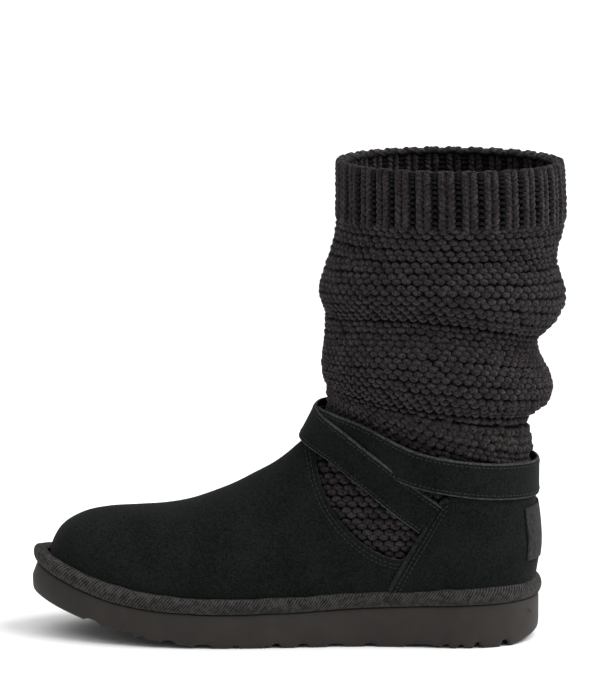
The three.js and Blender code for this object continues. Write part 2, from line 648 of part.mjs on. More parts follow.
// The strap lies on the outermost of the form's surface along a level ray from the ankle's axis.
const SKIN = { from: 9, perSection: 2, around: 72 };
const KNIT_GIVE = 0.2;
const skinRings = formRings(SKIN.from, TOP, SKIN.perSection, SKIN.around, (t) => (t > KNIT_SHOWS ? -KNIT_GIVE : 0));
const skin = ringSolid(skinRings, true);
const skinMesh = new THREE.Mesh(geometryOf(skin), new THREE.MeshBasicMaterial({ side: THREE.DoubleSide }));
const caster = new THREE.Raycaster();
function onSkin(angle, z) {
  const a = THREE.MathUtils.degToRad(angle);
  const direction = new THREE.Vector3(Math.cos(a), -Math.sin(a), 0);
  const start = new THREE.Vector3(STRAP_AXIS.x, STRAP_AXIS.y, z).addScaledVector(direction, FAR);
  caster.set(start, direction.clone().negate());
  const hit = caster.intersectObject(skinMesh)[0];
  return { point: hit.point, direction };
}

const STRAP_PER_ROW = 2;
const STRAP_EDGE_ROUND = 0.5;
const STRAP_EDGE = 0.5 - STRAP_EDGE_ROUND / STRAP_WIDTH;
function strapRings() {
  const count = (STRAP_ROUTE.length - 1) * STRAP_PER_ROW;
  const rings = [];
  const centre = (k) => {
    const t = k / STRAP_PER_ROW;
    const [angle, z, off] = ["angle", "z", "off"].map((key) => columnAt(STRAP_ROUTE, key, t));
    return { ...onSkin(angle, z), angle, z, off };
  };
  for (let k = 0; k <= count; k += 1) {
    const here = centre(k);
    const tangent = centre(Math.min(k + 1, count)).point.clone().sub(centre(Math.max(k - 1, 0)).point);
    const across = new THREE.Vector3().crossVectors(tangent, here.direction).normalize();
    if (across.z < 0) across.negate();
    // Both long edges are found on the skin, so that the band leans as the ankle does.
    const [low, high] = [-0.5, 0.5].map((share) => {
      const goal = here.point.clone().addScaledVector(across, share * STRAP_WIDTH);
      const a = THREE.MathUtils.radToDeg(Math.atan2(-(goal.y - STRAP_AXIS.y), goal.x - STRAP_AXIS.x));
      return onSkin(a, goal.z).point;
    });
    const middle = low.clone().add(high).multiplyScalar(0.5);
    const bow = Math.max(0, here.point.clone().sub(middle).dot(here.direction));
    const up = high.clone().sub(low).normalize();
    const out = new THREE.Vector3().crossVectors(up, tangent).normalize();
    if (out.dot(here.direction) < 0) out.negate();
    const at = (share, off) =>
      middle
        .clone()
        .addScaledVector(up, share * STRAP_WIDTH)
        .addScaledVector(out, here.off + bow + off);
    rings.push([
      at(-0.5, 0),
      at(-0.5, STRAP_THICK - STRAP_EDGE_ROUND),
      at(-STRAP_EDGE, STRAP_THICK),
      at(STRAP_EDGE, STRAP_THICK),
      at(0.5, STRAP_THICK - STRAP_EDGE_ROUND),
      at(0.5, 0),
    ]);
  }
  return rings;
}

function makeStrap() {
  const body = ringSolid(strapRings(), true);
  const counter = footForm(GAP + COUNTER + GAP).intersect(counterRegion(STITCHED - GAP));
  const piping = footForm(GAP + PIPING_THICK + GAP).intersect(counterRegion(-GAP));
  const { around, perSection } = KNIT_OUTSIDE;
  const knit = ringSolid(formRings(KNIT_START, TOP, perSection, around, (t) => knitFace(t) + GAP), true);
  const behindSeam = sidePrism([
    ...shifted(COUNTER_EDGE.slice(0, SEAM_TOP + 1), -GAP),
    { x: 0, z: COUNTER_EDGE[SEAM_TOP].z },
    { x: 0, z: COUNTER_EDGE[0].z },
  ]);
  return body.subtract(footForm(GAP)).subtract(counter).subtract(piping).subtract(knit).subtract(behindSeam);
}

const boot = new THREE.Group();
// Each node is the largest body of its solid: the cuts leave slivers behind.
function add(name, body, look) {
  const pieces = body.decompose().sort((a, b) => b.volume() - a.volume());
  const mesh = new THREE.Mesh(geometryOf(pieces[0]), new THREE.MeshStandardMaterial(COLOURS[look]));
  mesh.name = name;
  boot.add(mesh);
}

add("outsole", makeOutsole(), "rubber");
add("foxing_tape", makeTape(), "tape");
add("upper", makeUpper(), "suede");
add("heel_counter", makeCounter(), "suede");
add("counter_piping_medial", makePiping(-1), "suede");
add("counter_piping_lateral", makePiping(1), "suede");
add("knit_shaft", makeShaft(), "knit");
add("ankle_strap", makeStrap(), "suede");
add("heel_label", makeLabel(), "label");
add("insole", makeInsole(), "fleece");

export default boot;
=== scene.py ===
# The looks of a slouchy knit-shaft boot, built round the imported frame.
# Lengths are millimetres in the tables and functions, and metres once a mesh is made.
import math

import bmesh
import bpy
import numpy as np
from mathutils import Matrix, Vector
from mathutils.bvhtree import BVHTree


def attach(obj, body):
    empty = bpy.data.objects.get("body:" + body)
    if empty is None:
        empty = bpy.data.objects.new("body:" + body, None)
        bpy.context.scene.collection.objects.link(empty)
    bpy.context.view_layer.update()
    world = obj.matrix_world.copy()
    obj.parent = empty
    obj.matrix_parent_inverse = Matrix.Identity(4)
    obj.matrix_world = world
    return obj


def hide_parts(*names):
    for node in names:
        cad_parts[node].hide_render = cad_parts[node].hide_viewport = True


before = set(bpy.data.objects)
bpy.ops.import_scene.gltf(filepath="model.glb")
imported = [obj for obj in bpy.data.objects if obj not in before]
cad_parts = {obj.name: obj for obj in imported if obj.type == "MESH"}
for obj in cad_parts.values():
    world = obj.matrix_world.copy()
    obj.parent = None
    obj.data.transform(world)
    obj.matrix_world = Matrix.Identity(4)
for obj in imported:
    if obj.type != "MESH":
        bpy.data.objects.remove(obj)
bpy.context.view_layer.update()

MM = 0.001
rng = np.random.default_rng(26)

# Sizes shared with the solids.
SOLE_BACK = 36
SOLE_TIP = -235
TOE_SPRING_START = -120
TOE_SPRING_RADIUS = 290
SUEDE = 2.4
COUNTER = 1.3
LABEL = 0.7
KNIT = 4
INSOLE = 4.5
GAP = 0.3
STRAP_THICK = 1.5
STRAP_WIDTH = 19.4
CUFF_RIBS = 32
STITCHES_ROUND = 69

# Heights along the foot, of the sole's wall and of the tape over it.
WALL_HEIGHT = [(-236, 16.2), (-208, 15), (-190, 14.8), (-171, 15.8), (-148, 17.4), (-122, 18.2),
               (-90, 19), (-66, 20.5), (-36, 21.8), (0, 23.2), (40, 23.6)]
TAPE_HEIGHT = [(-236, 9.6), (-190, 9.2), (-150, 7.8), (-70, 7.6), (0, 8.2), (40, 10.6)]
SOLE_OUTLINE = [(36, 0), (32, -16), (20, -29), (0, -35.8), (-30, -35.2), (-60, -36), (-95, -41.5),
                (-130, -46), (-160, -46.5), (-187, -42), (-210, -33.5), (-226, -23), (-235, -8),
                (-231, 8), (-218, 22.5), (-197, 37), (-168, 47.5), (-135, 50.5), (-100, 48),
                (-60, 41), (-25, 37), (3, 35.8), (21, 28.5), (32, 16)]

# The form's sections, as in the solids: each lies on a plane through a front point and an end point.
SECTION_COLUMNS = ("frontX", "frontZ", "endX", "endZ", "medial", "lateral", "midY", "wide",
                   "frontRound", "endRound", "lift")
FOOT_SECTIONS = [
    (-225.6, 43, -226, 23, 0, 0, -4.5, 0.6, 2, 2.6),
    (-225, 47, -225, 22, 9.5, 10, -4.5, 0.6, 2, 2.6),
    (-223, 52, -223, 21, 15, 16.5, -4.8, 0.6, 2, 2.7),
    (-219.5, 57.2, -219.5, 19, 18.7, 21, -5, 0.62, 2.05, 2.8),
    (-214, 61.4, -214, 17, 22.4, 25.4, -5, 0.63, 2.1, 2.9),
    (-205, 65.2, -205, 13, 27.2, 31.8, -5, 0.64, 2.15, 3),
    (-193, 67.4, -193, 9, 31.4, 38.4, -5, 0.65, 2.2, 3),
    (-179, 68.3, -179, 6, 35, 43.6, -5, 0.66, 2.2, 3),
    (-164, 69.6, -164, 5, 37.2, 47, -4.8, 0.67, 2.15, 3),
    (-149, 72.8, -149, 4, 38.2, 49, -4.4, 0.69, 2.1, 3),
    (-134, 78.4, -134, 4, 38, 49, -3.8, 0.71, 2.05, 3),
    (-121, 84, -119, 4, 37, 47.8, -3.2, 0.72, 2, 3),
    (-111, 89.2, -101, 4.5, 35.8, 45.4, -2.6, 0.72, 2, 3),
    (-104, 93.7, -82, 5, 34.6, 42.8, -2, 0.71, 2, 3),
    (-98.5, 98, -61, 6, 33.4, 40, -1.5, 0.69, 2, 3),
    (-94.5, 101.5, -39, 7, 32.8, 37.6, -1, 0.67, 2, 2.9),
    (-91.2, 104.4, -16, 8, 32.6, 35.4, -0.5, 0.65, 2, 2.8),
    (-88.6, 107, 8, 9, 33, 34.4, 0, 0.63, 2, 2.7),
    (-86.8, 109.2, 23.5, 14, 33.6, 34, 0, 0.61, 2, 2.6),
    (-85.4, 111.2, 31, 25, 34, 34.2, 0, 0.6, 2, 2.5),
    (-84.3, 113.2, 33.4, 38, 34.6, 34.8, 0, 0.58, 2, 2.4),
    (-83.3, 115.4, 35, 51, 35.4, 35.6, 0, 0.56, 2, 2.3),
    (-82.2, 118.4, 34.2, 65, 36.4, 36.6, 0, 0.54, 2, 2.2),
    (-80.9, 122.4, 32.4, 78, 37.4, 37.6, 0, 0.53, 2, 2.15),
    (-79.4, 127, 32.2, 91, 38.2, 38.4, 0, 0.52, 2, 2.1),
]
SHAFT_COLUMNS = ("frontX", "frontZ", "endX", "endZ", "medial", "lateral", "lift")
SHAFT_SECTIONS = [
    (-77.8, 131.5, 32.4, 104, 38.6, 38.6, 0),
    (-77.4, 134.2, 30, 117.6, 37.6, 37.8, 0),
    (-78, 136.5, 33.4, 122, 40, 40, 0),
    (-79.2, 139.4, 39.8, 126.6, 43, 42.4, 1),
    (-80.1, 143.6, 42.8, 134, 45, 44.4, 3),
    (-80.3, 149, 41.4, 142.4, 45.6, 45, 5),
    (-79.6, 156, 37.4, 149.6, 44.4, 44, 7),
    (-78.8, 164, 34.8, 156.4, 42.6, 42.6, 8),
    (-78.5, 170.5, 34.9, 161.4, 41.8, 42, 8),
    (-78.6, 174.6, 39.4, 165.8, 43.4, 43.2, 7.5),
    (-79.6, 178.6, 45, 171.8, 46, 45.4, 7),
    (-81.4, 183, 48.6, 179.4, 48.2, 47.4, 6),
    (-81.8, 188, 49.2, 187, 49, 48.2, 5),
    (-80.4, 194.4, 46.8, 195.6, 47.8, 47.2, 3.5),
    (-77.6, 202.6, 44.6, 203.6, 46, 45.6, 2),
    (-75, 211, 45, 210.4, 45.2, 45, 1),
    (-73.2, 219, 47.2, 218, 45.4, 45.4, 0.5),
    (-72.6, 227.5, 48.6, 227, 46, 46, 0),
    (-72.4, 242, 48.2, 242, 46.4, 46.4, 0),
    (-72.4, 253.5, 47.4, 253.5, 46.2, 46.2, 0),
    (-71.4, 257.2, 46.2, 257.2, 45.4, 45.4, 0),
]
FOOT_COUNT = len(FOOT_SECTIONS)
KNIT_SHOWS = FOOT_COUNT - 1
SHAFT_FIXED = {"midY": 0, "wide": 0.5, "frontRound": 2.05, "endRound": 2.05}
named_rows = [dict(zip(SECTION_COLUMNS, row + (0,))) for row in FOOT_SECTIONS]
named_rows += [{**dict(zip(SHAFT_COLUMNS, row)), **SHAFT_FIXED} for row in SHAFT_SECTIONS]
SECTIONS = {key: np.array([row[key] for row in named_rows], float) for key in SECTION_COLUMNS}
TOP = len(SECTIONS["wide"]) - 1
CUFF_ROWS = 4

# Lines in the side view: the window's edge, the counter's front edge and the suede's top over the heel.
WINDOW_EDGE = [(-110, 113.5), (-88, 112.5), (-83.6, 101), (-80.4, 88.5), (-74.5, 75.5), (-66.5, 64.9),
               (-57, 55.8), (-46, 49.2), (-35.5, 46.8), (-31.5, 51.6)]
COUNTER_EDGE = [(-47, 24), (-42.6, 31.6), (-31.5, 51.6), (-25.7, 61.4), (-16.8, 77.4), (-12, 81.2)]
HEEL_TOP = [(0, 83.4), (20, 85), (60, 86.5)]

STRAP_AXIS_X = -27
# Angle round the ankle in degrees, height, and how far the strap's inner face stands off the form.
STRAP_ROUTE = [
    (-286, 66.6, 0.7), (-276, 71.6, 0.7), (-262, 77.4, 0.8), (-245, 86, 1.4),
    (-234, 92.3, 2.4), (-223, 98.3, 2.8), (-205, 108, 2.6), (-180, 115, 2.5),
    (-158, 114.8, 2.5), (-138, 111.2, 2.7), (-118, 104.2, 2.6), (-95, 97.8, 1.9),
    (-70, 94, 2.1), (-45, 90.6, 2.2), (-20, 88.4, 2.3), (0, 87.4, 2.3),
    (20, 88.4, 2.3), (45, 90.6, 2.2), (70, 94, 2.1), (95, 97.8, 1.9),
    (118, 104.2, 1.2), (138, 110.2, 0.6), (158, 113.2, 0.6), (180, 114, 0.6),
    (205, 108, 0.7), (223, 98.3, 0.7), (234, 92.3, 0.7), (245, 86, 0.7),
    (262, 77.4, 0.7), (276, 71.6, 0.7), (286, 66.6, 0.7),
]


def column(values, t):
    """A Catmull-Rom value at t through evenly spaced values."""
    last = len(values) - 1
    i = np.clip(np.floor(t).astype(int), 0, last - 1)
    u = t - i
    a, b, c, d = (values[np.clip(i + k, 0, last)] for k in (-1, 0, 1, 2))
    return b + 0.5 * u * (c - a + u * (2 * a - 5 * b + 4 * c - d + u * (3 * (b - c) + d - a)))


def form(t, phi):
    """The boot's outer form: t counts sections, and phi goes round from the front by the medial side."""
    t, phi = np.broadcast_arrays(np.asarray(t, float), np.asarray(phi, float))
    s = {key: column(values, t) for key, values in SECTIONS.items()}
    cos, sin = np.cos(phi), np.sin(phi)
    power = 2 / np.where(cos >= 0, s["frontRound"], s["endRound"])
    bent = np.abs(cos) ** power
    along = np.where(cos >= 0, s["wide"] * (1 - bent), s["wide"] + (1 - s["wide"]) * bent)
    across = np.abs(sin) ** power * np.where(sin >= 0, -s["medial"], s["lateral"])
    x = s["frontX"] + along * (s["endX"] - s["frontX"])
    z = s["frontZ"] + along * (s["endZ"] - s["frontZ"]) + s["lift"] * sin**2
    return np.stack([x, s["midY"] + across, z], -1)


SPLINE_STEPS = 20


def unit(v):
    return v / np.maximum(np.linalg.norm(v, axis=-1, keepdims=True), 1e-9)


def form_frame(t, phi):
    """The form's points with unit vectors round the section, up the surface and out of it."""
    dt, dphi = 0.04, 0.02
    point = form(t, phi)
    rising = form(np.minimum(t + dt, TOP), phi) - form(np.maximum(t - dt, 0), phi)
    round_ = unit(form(t, phi + dphi) - form(t, phi - dphi))
    out = unit(np.cross(round_, rising))
    return point, round_, np.cross(out, round_), out


def at(table, x):
    xs, values = zip(*table)
    return np.interp(x, xs, values)


def spring(x):
    return np.maximum(0, TOE_SPRING_START - np.asarray(x, float)) ** 2 / (2 * TOE_SPRING_RADIUS)


def sole_top(x):
    return spring(x) + at(WALL_HEIGHT, x)


def run_along(line):
    """How far along a line each of its points lies."""
    return np.concatenate([[0], np.cumsum(np.linalg.norm(np.diff(line, axis=0), axis=1))])


def at_run(line, run, where):
    """The columns of a line at given lengths along it."""
    return np.stack([np.interp(where, run, values) for values in line.T], -1)


def spline(points, step):
    """Points about a step apart on a Catmull-Rom curve through the given points."""
    ts = np.arange((len(points) - 1) * SPLINE_STEPS + 1) / SPLINE_STEPS
    return resample(np.stack([column(np.array(values, float), ts) for values in zip(*points)], 1), step)


def resample(line, step):
    run = run_along(line)
    count = max(int(round(run[-1] / step)), 2)
    return at_run(line, run, np.linspace(0, run[-1], count + 1))


window_line = spline(WINDOW_EDGE, 2)
counter_front = spline(COUNTER_EDGE, 2)
top_line = np.concatenate([window_line, spline(COUNTER_EDGE[2:] + HEEL_TOP, 2)[1:]])
FAR = 400


def inside(points, polygon):
    """Which side-view points lie inside a polygon."""
    x, z = points[:, 0], points[:, 1]
    odd = np.zeros(len(points), bool)
    for (xa, za), (xb, zb) in zip(polygon, np.roll(polygon, -1, axis=0)):
        if za == zb:
            continue
        crosses = ((za > z) != (zb > z)) & (x < (xb - xa) * (z - za) / (zb - za) + xa)
        odd ^= crosses
    return odd


def line_distance(points, line):
    best = np.full(len(points), 1e9)
    for a, b in zip(line[:-1], line[1:]):
        d = b - a
        u = np.clip(((points - a) @ d) / max(d @ d, 1e-9), 0, 1)
        best = np.minimum(best, np.linalg.norm(points - a - u[:, None] * d, axis=1))
    return best


def side_field(points, line, closing):
    """Signed distance in the side view, positive inside the line closed by the closing points."""
    flat = points[:, [0, 2]]
    polygon = np.concatenate([line, np.array(closing, float)])
    return line_distance(flat, line) * np.where(inside(flat, polygon), 1, -1)


def grid_faces(rows, columns, wrap):
    i = np.arange(rows - 1)[:, None]
    j = np.arange(columns if wrap else columns - 1)[None]
    k = (j + 1) % columns
    quads = np.stack([i * columns + j, i * columns + k, (i + 1) * columns + k, (i + 1) * columns + j], -1)
    return quads.reshape(-1, 4)


def clip(points, faces, field):
    """The part of a mesh where the field isn't positive, as triangles, with its edge cut clean."""
    tris = faces if faces.shape[1] == 3 else np.concatenate([faces[:, [0, 1, 2]], faces[:, [0, 2, 3]]])
    out = field > 0
    count = out[tris].sum(1)
    kept = [tuple(f) for f in tris[count == 0]]
    points = list(points)
    made = {}

    def cut(a, b):
        key = (min(a, b), max(a, b))
        if key not in made:
            u = field[a] / (field[a] - field[b])
            made[key] = len(points)
            points.append(points[a] + u * (points[b] - points[a]))
        return made[key]

    for f in tris[(count > 0) & (count < 3)]:
        ring = []
        for k in range(3):
            a, b = f[k], f[(k + 1) % 3]
            if not out[a]:
                ring.append(a)
            if out[a] != out[b]:
                ring.append(cut(a, b))
        kept += [(ring[0], ring[k], ring[k + 1]) for k in range(1, len(ring) - 1)]
    kept = np.array(kept)
    used = np.unique(kept)
    index = np.full(len(points), -1)
    index[used] = np.arange(len(used))
    return np.array(points)[used], index[kept]


def add_object(name, data):
    made = bpy.data.objects.new(name, data)
    bpy.context.scene.collection.objects.link(made)
    return made


def add_mesh(name, points, faces, look):
    mesh = bpy.data.meshes.new(name)
    faces = np.asarray(faces)
    sides = faces.shape[1]
    mesh.vertices.add(len(points))
    mesh.vertices.foreach_set("co", (np.asarray(points)[:, :3] * MM).astype(np.float32).ravel())
    mesh.loops.add(faces.size)
    mesh.loops.foreach_set("vertex_index", faces.astype(np.int32).ravel())
    mesh.polygons.add(len(faces))
    mesh.polygons.foreach_set("loop_start", np.arange(0, faces.size, sides, dtype=np.int32))
    mesh.update(calc_edges=True)
    mesh.validate()
    mesh.polygons.foreach_set("use_smooth", np.ones(len(mesh.polygons), bool))
    mesh.materials.append(look)
    piece = add_object(name, mesh)
    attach(piece, "root")
    return piece


def add_vector(piece, name, values):
    """Stores a vector on each vertex, for a material to read."""
    attribute = piece.data.attributes.new(name, "FLOAT_VECTOR", "POINT")
    full = np.zeros((len(values), 3), np.float32)
    full[:, : values.shape[1]] = values
    attribute.data.foreach_set("vector", full.ravel())


def solidify(piece, thickness, back=0, rim=0):
    """Gives a sheet its thickness inwards. Its back and rim may have later materials of the piece."""
    modifier = piece.modifiers.new("thickness", "SOLIDIFY")
    modifier.thickness = thickness * MM
    modifier.offset = -1
    modifier.use_even_offset = True
    modifier.use_rim = True
    modifier.material_offset = back
    modifier.material_offset_rim = rim


def merge_close(piece, distance=0.02):
    """Joins the seams between grids and turns the faces outwards."""
    bm = bmesh.new()
    bm.from_mesh(piece.data)
    bmesh.ops.remove_doubles(bm, verts=bm.verts, dist=distance * MM)
    bmesh.ops.recalc_face_normals(bm, faces=bm.faces)
    bm.to_mesh(piece.data)
    bm.free()
    piece.data.polygons.foreach_set("use_smooth", np.ones(len(piece.data.polygons), bool))


def tubes(centres, radii, sides, out):
    """Many tubes at once: centres by tube and point, radii by point at least, out a vector for each point."""
    along = unit(np.gradient(centres, axis=1))
    across = unit(np.cross(along, out))
    third = np.cross(across, along)
    turn = 2 * np.pi * np.arange(sides) / sides
    circle = across[..., None, :] * np.cos(turn)[:, None] + third[..., None, :] * np.sin(turn)[:, None]
    radii = np.broadcast_to(radii, centres.shape[:2])
    points = centres[..., None, :] + circle * radii[..., None, None]
    count, length = centres.shape[:2]
    one = grid_faces(length, sides, True)
    faces = (one[None] + (np.arange(count) * length * sides)[:, None, None]).reshape(-1, 4)
    steps = np.cumsum(np.linalg.norm(np.diff(centres, axis=1), axis=2), 1)
    run = np.concatenate([np.zeros((count, 1)), steps], 1)
    # Highest on the crest of a strand's thickest point, and low at its sides and ends: the mask of the yarn's
    # painted shade and light.
    crest = np.sin(turn) * (radii / radii.max(1, keepdims=True))[..., None]
    ply_and_shade = np.stack(np.broadcast_arrays(run[..., None], turn, crest), -1).reshape(-1, 3)
    return points.reshape(-1, 3), faces, ply_and_shade


def join_parts(parts):
    points, faces, extra, start = [], [], [], 0
    for p, f, e in parts:
        points.append(p)
        faces.append(f + start)
        extra.append(e)
        start += len(p)
    return np.concatenate(points), np.concatenate(faces), np.concatenate(extra)


def form_sheet(first, last, rows, around):
    """A grid on the form from one section to another: t, points, outward normals and faces."""
    angles = 2 * np.pi * np.arange(around) / around
    t, phi = np.meshgrid(np.linspace(first, last, rows), angles, indexing="ij")
    point, _, _, out = form_frame(t, phi)
    if first == 0:
        out[0] = (-1, 0, 0)
    return t.ravel(), point.reshape(-1, 3), out.reshape(-1, 3), grid_faces(rows, around, True)


# The form as a surface that rays can hit.
RAY_ROWS = TOP * 5 + 1
RAY_ROUND = 160
_, ray_points, _, ray_faces = form_sheet(0, TOP, RAY_ROWS, RAY_ROUND)
tree = BVHTree.FromPolygons([Vector(p) for p in ray_points], ray_faces.tolist())


def shoot(start, direction):
    """The first hit on the form and its outward normal."""
    start, direction = Vector(start), Vector(direction).normalized()
    hit, normal, _, _ = tree.ray_cast(start, direction)
    if hit is None:
        hit, normal, _, _ = tree.find_nearest(start + direction * 0.8 * FAR)
    if normal.dot(direction) > 0:
        normal = -normal
    return np.array(hit), np.array(normal)


def on_side(line, side, off):
    """Side-view points carried onto the form's medial (-1) or lateral (1) side, with normals."""
    hits = [shoot((x, side * FAR, z), (0, -side, 0)) for x, z in line]
    points = np.array([h[0] for h in hits])
    normals = np.array([h[1] for h in hits])
    return points + normals * off, normals


def smooth_rows(values, rounds=2):
    for _ in range(rounds):
        inner = 0.25 * values[:-2] + 0.5 * values[1:-1] + 0.25 * values[2:]
        values = np.concatenate([values[:1], inner, values[-1:]])
    return values


# Materials. Noise scales are per metre, and the bumps' distances are metres.
def material(name, build):
    made = bpy.data.materials.new(name)
    made.use_nodes = True
    build(made.node_tree, made.node_tree.nodes["Principled BSDF"])
    return made


def put(graph, node, inputs):
    """Links each input to the socket that it is given, or else sets it to the value."""
    for key, value in inputs.items():
        if isinstance(value, bpy.types.NodeSocket):
            graph.links.new(value, node.inputs[key])
        else:
            node.inputs[key].default_value = value


def add_node(graph, kind, inputs, **settings):
    node = graph.nodes.new(kind)
    for key, value in settings.items():
        setattr(node, key, value)
    put(graph, node, inputs)
    return node


def object_place(graph):
    return graph.nodes.new("ShaderNodeTexCoord").outputs["Object"]


def carried(graph, name):
    """The three parts of a vector that the mesh carries."""
    kept = graph.nodes.new("ShaderNodeAttribute")
    kept.attribute_name = name
    return add_node(graph, "ShaderNodeSeparateXYZ", {0: kept.outputs["Vector"]}).outputs


def calc(graph, operation, first, second=0.0):
    return add_node(graph, "ShaderNodeMath", {0: first, 1: second}, operation=operation).outputs[0]


def multiplied(graph, first, second):
    """The product of two colours."""
    inputs = {0: 1.0, 6: first, 7: second}
    return add_node(graph, "ShaderNodeMix", inputs, data_type="RGBA", blend_type="MULTIPLY").outputs[2]


def noise(graph, place, scale, detail=4, roughness=0.6):
    inputs = {"Vector": place, "Scale": scale, "Detail": detail, "Roughness": roughness}
    return add_node(graph, "ShaderNodeTexNoise", inputs).outputs["Fac"]


def ramp(graph, factor, low, high, start=0.3, end=0.7):
    node = add_node(graph, "ShaderNodeValToRGB", {"Fac": factor})
    for element, position, color in zip(node.color_ramp.elements, (start, end), (low, high)):
        element.position = position
        element.color = (*color, 1)
    return node.outputs["Color"]


def bump(graph, height, distance, strength=1.0, under=None):
    """A bumped normal, over the normal of another bump where one is given."""
    inputs = {"Height": height, "Distance": distance, "Strength": strength}
    if under is not None:
        inputs["Normal"] = under
    return add_node(graph, "ShaderNodeBump", inputs).outputs["Normal"]


def finish(graph, shader, color, normal, roughness, specular, sheen, sheen_roughness=0.5):
    put(graph, shader, {"Base Color": color, "Normal": normal, "Roughness": roughness,
                        "Specular IOR Level": specular, "Sheen Weight": sheen,
                        "Sheen Roughness": sheen_roughness})


def suede_look(dark, light):
    """Fine fibres over soft clouds."""
    def build(graph, shader):
        place = object_place(graph)
        cloud = noise(graph, place, 38, 5)
        fibre = noise(graph, place, 900, 3, 0.7)
        mixed = add_node(graph, "ShaderNodeMix", {0: FIBRE_SHARE, 2: cloud, 3: fibre}).outputs[0]
        color = ramp(graph, mixed, dark, light, 0.41, 0.59)
        nap = bump(graph, fibre, 0.00022)
        finish(graph, shader, color, bump(graph, cloud, 0.0006, 0.5, nap), 0.95, 0.06, 0.03)
    return build


def plain_look(dark, light, scale, roughness, sheen=0.0, relief=0.0002, specular=0.3):
    def build(graph, shader):
        grain = noise(graph, object_place(graph), scale)
        color = ramp(graph, grain, dark, light)
        finish(graph, shader, color, bump(graph, grain, relief), roughness, specular, sheen)
    return build


def yarn_look(dark, light, grain_high):
    """Yarn of three plies that turn round it as it runs on, with painted shade on each strand's sides and
    painted light on its crest.
    """
    def build(graph, shader):
        place = object_place(graph)
        run, turn, crest = carried(graph, "ply_and_shade")
        along = calc(graph, "MULTIPLY", run, PLY_TWIST)
        phase = calc(graph, "ADD", along, calc(graph, "MULTIPLY", turn, PLIES))
        fuzz = noise(graph, place, 950, 3, 0.75)
        tone = ramp(graph, noise(graph, place, 110, 3), dark, light, 0.35, 0.65)
        grain = ramp(graph, fuzz, (YARN_GRAIN,) * 3, (grain_high,) * 3, 0.4, 0.6)
        # Painted shade and light: a strand's sides are darkened, for the dark between it and the next, and
        # its crest is lightened.
        shade = ramp(graph, crest, (YARN_SIDE_PAINTED_SHADE,) * 3, (YARN_CREST_PAINTED_LIGHT,) * 3, 0.25, 0.95)
        color = multiplied(graph, multiplied(graph, tone, grain), shade)
        plies = bump(graph, calc(graph, "SINE", phase), 0.0002)
        finish(graph, shader, color, bump(graph, fuzz, 0.0007, 1.0, plies), 0.95, 0.06, 0.06, 0.6)
    return build


def twill_look(dark, light):
    """Fine diagonal ribs over a narrow tape, whose weave gives the way along it and across it."""
    def build(graph, shader):
        run, rise, _ = carried(graph, "weave")
        along = calc(graph, "MULTIPLY", run, 3.7)
        across = calc(graph, "MULTIPLY", rise, 2.9)
        ribs = calc(graph, "SINE", calc(graph, "ADD", along, across))
        crossing = calc(graph, "MULTIPLY", calc(graph, "SUBTRACT", along, across), 2.0)
        cloud = noise(graph, object_place(graph), 420, 6)
        # The ribs lighten and darken the tone: painted light and shade of the ribs, over the random tone.
        tone = calc(graph, "ADD", cloud, calc(graph, "MULTIPLY", ribs, RIB_PAINTED_LIGHT))
        color = ramp(graph, tone, dark, light, 0.34, 0.66)
        ridged = bump(graph, ribs, 0.00025)
        threads = bump(graph, calc(graph, "SINE", crossing), 0.00008, 0.6, ridged)
        finish(graph, shader, color, threads, 0.9, 0.1, 0.05)
    return build


# Shares and strengths of the looks.
FIBRE_SHARE = 0.72
PLIES = 3.0
PLY_TWIST = 1.5
YARN_GRAIN = 0.2
# Shares of a yarn's colour at a strand's sides, as painted shade, and at its crest, as painted light.
YARN_SIDE_PAINTED_SHADE = 0.1
YARN_CREST_PAINTED_LIGHT = 1.95
# Painted light and shade of the twill's ribs, as a share of its tone.
RIB_PAINTED_LIGHT = 0.13

suede = material("suede_black", suede_look((0.0024, 0.0031, 0.003), (0.009, 0.0105, 0.0101)))
strap_suede = material("suede_strap", suede_look((0.002, 0.0027, 0.0026), (0.0083, 0.0098, 0.0094)))
folded_edge = material("suede_folded_edge", suede_look((0.0035, 0.0042, 0.0042), (0.021, 0.0235, 0.0232)))
# Lighter than the suede: partly the cut edge's own tone, partly painted highlight where light from above
# catches it.
raw_edge_and_highlight = material("suede_raw_edge_and_highlight", suede_look((0.014, 0.0155, 0.0155), (0.055, 0.06, 0.06)))
thread = material("thread", plain_look((0.004, 0.0044, 0.0044), (0.027, 0.029, 0.029), 500, roughness=0.7))
yarn = material("yarn_charcoal", yarn_look((0.0084, 0.0063, 0.0066), (0.0146, 0.0119, 0.0123), 2.1))
# A darker copy of the yarn: painted shade for the bumps deep in the cuff's gaps.
painted_shade_yarn = material("yarn_painted_shade_in_gaps", yarn_look((0.0045, 0.0037, 0.0038), (0.009, 0.0076, 0.0079), 1.8))
# The knit's body behind the beads, darker than the yarn as painted shade.
painted_shade_backing = material("knit_painted_shade_backing", plain_look((0.0035, 0.003, 0.003), (0.0075, 0.0065, 0.0065), 700,
                                              roughness=1, specular=0.02))
twill = material("twill_tape", twill_look((0.006, 0.0057, 0.0053), (0.047, 0.0445, 0.0415)))
sole_foam = material("sole_foam", plain_look((0.0143, 0.0116, 0.0098), (0.0217, 0.0178, 0.0152), 60,
                                             roughness=0.75, sheen=0.05, relief=0.00015))
lining = material("fleece", plain_look((0.006, 0.0055, 0.0055), (0.018, 0.017, 0.017), 500,
                                       roughness=1, sheen=0.3, relief=0.0015))
label_cloth = material("label_cloth", plain_look((0.007, 0.007, 0.0072), (0.028, 0.028, 0.0288), 420,
                                                 roughness=0.85, sheen=0.03, relief=0.0003, specular=0.1))

